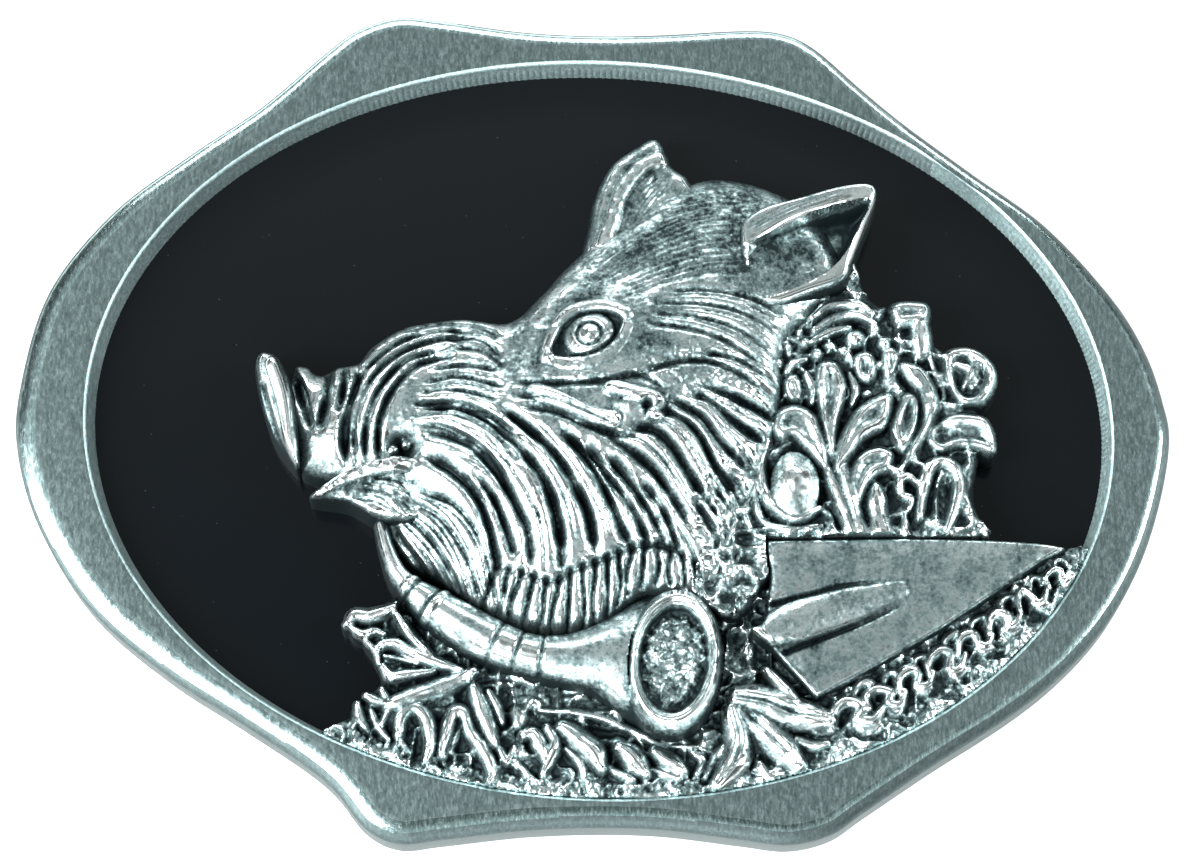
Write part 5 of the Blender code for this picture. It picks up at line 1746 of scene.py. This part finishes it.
def lug_rings(side):
    """Sections of a rounded square, a circle's sines to a small power, that flare towards the back."""
    turn = np.linspace(0, 2 * math.pi, LUG_STEPS, endpoint=False)
    shape = np.stack([np.cos(turn), np.sin(turn)], -1)
    shape = np.sign(shape) * np.abs(shape) ** SQUARENESS
    rings = []
    for share in np.linspace(0, 1, LUG_LEVELS):
        z = share * (BACK_Z + LUG_SINK)
        foot = 1 - FOOT_TAPER * (1 - round_over(np.array(share), FOOT_SHARE))
        flare = 1 + FLARE * max(0, (share - (1 - FLARE_SHARE)) / FLARE_SHARE) ** 2
        xy = shape * np.array(LUG_SIZE) / 2 * foot * flare
        rings.append(np.column_stack([xy + [LOOP_X, side * LUG_Y], np.full(LUG_STEPS, z)]))
    return rings


def lug(name, side):
    """The sections skinned, with a bore cut across them."""
    points, faces = skinned(lug_rings(side))
    made = new_object(name, points, faces, frame_finish)
    bpy.ops.mesh.primitive_cylinder_add(vertices=48, radius=BORE / 2, depth=0.02)
    bore = bpy.context.object
    bore.rotation_euler = (math.pi / 2, 0, 0)
    bore.location = (LOOP_X, side * LUG_Y, PIN_Z)
    cut = made.modifiers.new("bore", "BOOLEAN")
    cut.object = bore
    bpy.context.view_layer.update()
    cut_mesh = bpy.data.meshes.new_from_object(made.evaluated_get(bpy.context.evaluated_depsgraph_get()))
    made.modifiers.clear()
    made.data = cut_mesh
    bpy.data.objects.remove(bore)
    return stood_up(made, "casting", sharp=40)


lug("lug_top", 1)
lug("lug_bottom", -1)

# %% Wire loop
LOOP_REACH = 0.0200
LOOP_SIDE = 0.0214
LOOP_CORNER = 0.0045
LOOP_END = 0.0105
END_CHAMFER = 0.0003


def loop_route():
    """From one end in its lug, round four quarter bends, to the other end, in the loop's own plane."""
    quarter = np.linspace(0, math.pi / 2, 14)
    bend = LOOP_CORNER * (1 - np.stack([np.sin(quarter), np.cos(quarter)], -1))
    near = np.stack([bend[:, 0], LOOP_SIDE - bend[:, 1]], -1)[::-1]
    far = np.stack([LOOP_REACH - bend[:, 0], LOOP_SIDE - bend[:, 1]], -1)
    half = np.vstack([[(0, LOOP_END), (0, LOOP_END + END_CHAMFER)], near, far])
    return np.vstack([half, half[::-1] * [1, -1]])


def wire_loop():
    """A circle at each point of the route, in the plane across it, all tilted down by the loop's drop."""
    route = loop_route()
    drop = math.asin((PIN_Z - WIRE / 2) / LOOP_REACH)
    run = np.gradient(route, axis=0)
    run /= np.hypot(*run.T)[:, None]
    side = np.stack([-run[:, 1], run[:, 0]], -1)
    turn = np.linspace(0, 2 * math.pi, 28, endpoint=False)
    radius = np.full(len(route), WIRE / 2)
    radius[0] = radius[-1] = WIRE / 2 - END_CHAMFER
    flat = route[:, None] + side[:, None] * (radius[:, None] * np.cos(turn))[..., None]
    level = radius[:, None] * np.sin(turn)
    x = flat[..., 0] * math.cos(drop) + level * math.sin(drop)
    z = level * math.cos(drop) - flat[..., 0] * math.sin(drop)
    rings = np.stack([x + LOOP_X, flat[..., 1], z + PIN_Z], -1)
    points, faces = skinned(rings)
    made = new_object("wire_loop", points, faces, steel_finish)
    return stood_up(made, "belt_loop", body="loop", sharp=40)


wire_loop()

# %% Hook stud
HOOK_PROFILE = [
    (3.20, -0.00), (3.20, -0.70), (2.95, -1.00), (2.0, -1.05), (1.75, -1.35), (1.70, -3.0), (1.70, -5.2),
    (1.85, -5.5), (3.35, -5.75), (3.65, -6.0), (3.70, -6.5), (3.60, -7.05), (3.20, -7.42), (2.6, -7.5),
]


def hook_stud():
    """A turned stud: the profile's radius and depth, in mm below its flange, spun round its axis."""
    profile = smooth_line(np.array(HOOK_PROFILE, float), steps=4)
    turn = np.linspace(0, 2 * math.pi, 64, endpoint=False)
    reach = (hook_high[0] - hook_low[0]) / 2 / profile[:, 0].max()
    fall = (hook_high[2] - hook_low[2]) / -profile[:, 1].min()
    middle = (hook_low + hook_high) / 2
    x = middle[0] + profile[:, :1] * reach * np.cos(turn)
    y = middle[1] + profile[:, :1] * reach * np.sin(turn)
    z = hook_high[2] + profile[:, 1:] * fall + 0 * x
    points, faces = skinned(np.stack([x, y, z], -1)[::-1])
    made = new_object("hook_stud", points, faces, steel_finish)
    return stood_up(made, "belt_hook", sharp=40)


hook_stud()

# %% [markdown]
# ## Stage, light and camera
# A pale floor, a large soft light from the left, one above the top edge and weaker ones from the right
# and the front. Metal shows what surrounds it, so the sky matters more than the lamps: dark halfway up,
# to draw the furrows, pale high up, where the flat face looks, and darker again straight above.

# %% Floor


def floor():
    bpy.ops.mesh.primitive_plane_add(size=3)
    made = bpy.context.object
    made.name = "floor"
    finish, _, shader = new_material("pale_floor")
    shader.inputs["Base Color"].default_value = colour("#f4f5f4")
    shader.inputs["Roughness"].default_value = 0.9
    made.data.materials.append(finish)


floor()

# %% Soft lights
LIGHT_AIM = (0, 0, 0.012)
LIGHTS = [
    # name, place, size, watts
    ("left_light", (-0.44, -0.14, 0.33), (0.28, 0.56), 11.0),
    ("right_light", (0.48, 0.02, 0.30), (0.16, 0.40), 3.6),
    ("top_light", (0.0, 0.50, 0.24), (0.60, 0.14), 2.6),
    ("front_light", (-0.10, -0.50, 0.26), (0.40, 0.14), 3.4),
]


def softbox(name, place, size, power):
    """A rectangle of light at a place, turned to face LIGHT_AIM."""
    data = bpy.data.lights.new(name, "AREA")
    data.shape = "RECTANGLE"
    data.size, data.size_y = size
    data.energy = power
    made = bpy.data.objects.new(name, data)
    made.location = place
    direction = Vector(np.array(LIGHT_AIM) - np.array(place))
    made.rotation_euler = direction.to_track_quat("-Z", "Y").to_euler()
    bpy.context.scene.collection.objects.link(made)


for light in LIGHTS:
    softbox(*light)
print(len(LIGHTS), "soft lights,", round(sum(light[3] for light in LIGHTS), 1), "watts")

# %% Sky
SKY_TONES = [(0.0, "#f2f4f3"), (0.12, "#4a5250"), (0.6, "#39413f"), (0.90, "#dde3e2"), (0.98, "#5f6866")]


def sky():
    """Grey tones by height, from the horizon at 0 to straight above at 1."""
    world = bpy.data.worlds.new("studio")
    bpy.context.scene.world = world
    world.use_nodes = True
    tree = world.node_tree
    place = add(tree, "ShaderNodeTexCoord").outputs["Generated"]
    split = add(tree, "ShaderNodeSeparateXYZ", [(place, 0)])
    tones = [(height, colour(shade)) for height, shade in SKY_TONES]
    shade = add(tree, "ShaderNodeValToRGB", [(split.outputs["Z"], 0)], tones)
    tree.links.new(shade.outputs[0], tree.nodes["Background"].inputs["Color"])
    tree.nodes["Background"].inputs["Strength"].default_value = 1.0


sky()

# %% Camera at the photograph's angle
data = bpy.data.cameras.new("camera")
data.sensor_width = 36.0
data.lens = LENS_PIXELS * data.sensor_width / PICTURE_SIZE[0]
camera = bpy.data.objects.new("camera", data)
eye = in_metres(np.array([0.0, -VIEW_DISTANCE * math.sin(VIEW_TILT)]))
camera.location = (*eye, FACE_Z + VIEW_DISTANCE * math.cos(VIEW_TILT) * SCALE)
camera.rotation_euler = (VIEW_TILT, 0, 0)
data.clip_start, data.clip_end = 0.01, 10.0
bpy.context.scene.collection.objects.link(camera)
bpy.context.scene.camera = camera
bpy.context.scene.view_settings.view_transform = "Standard"
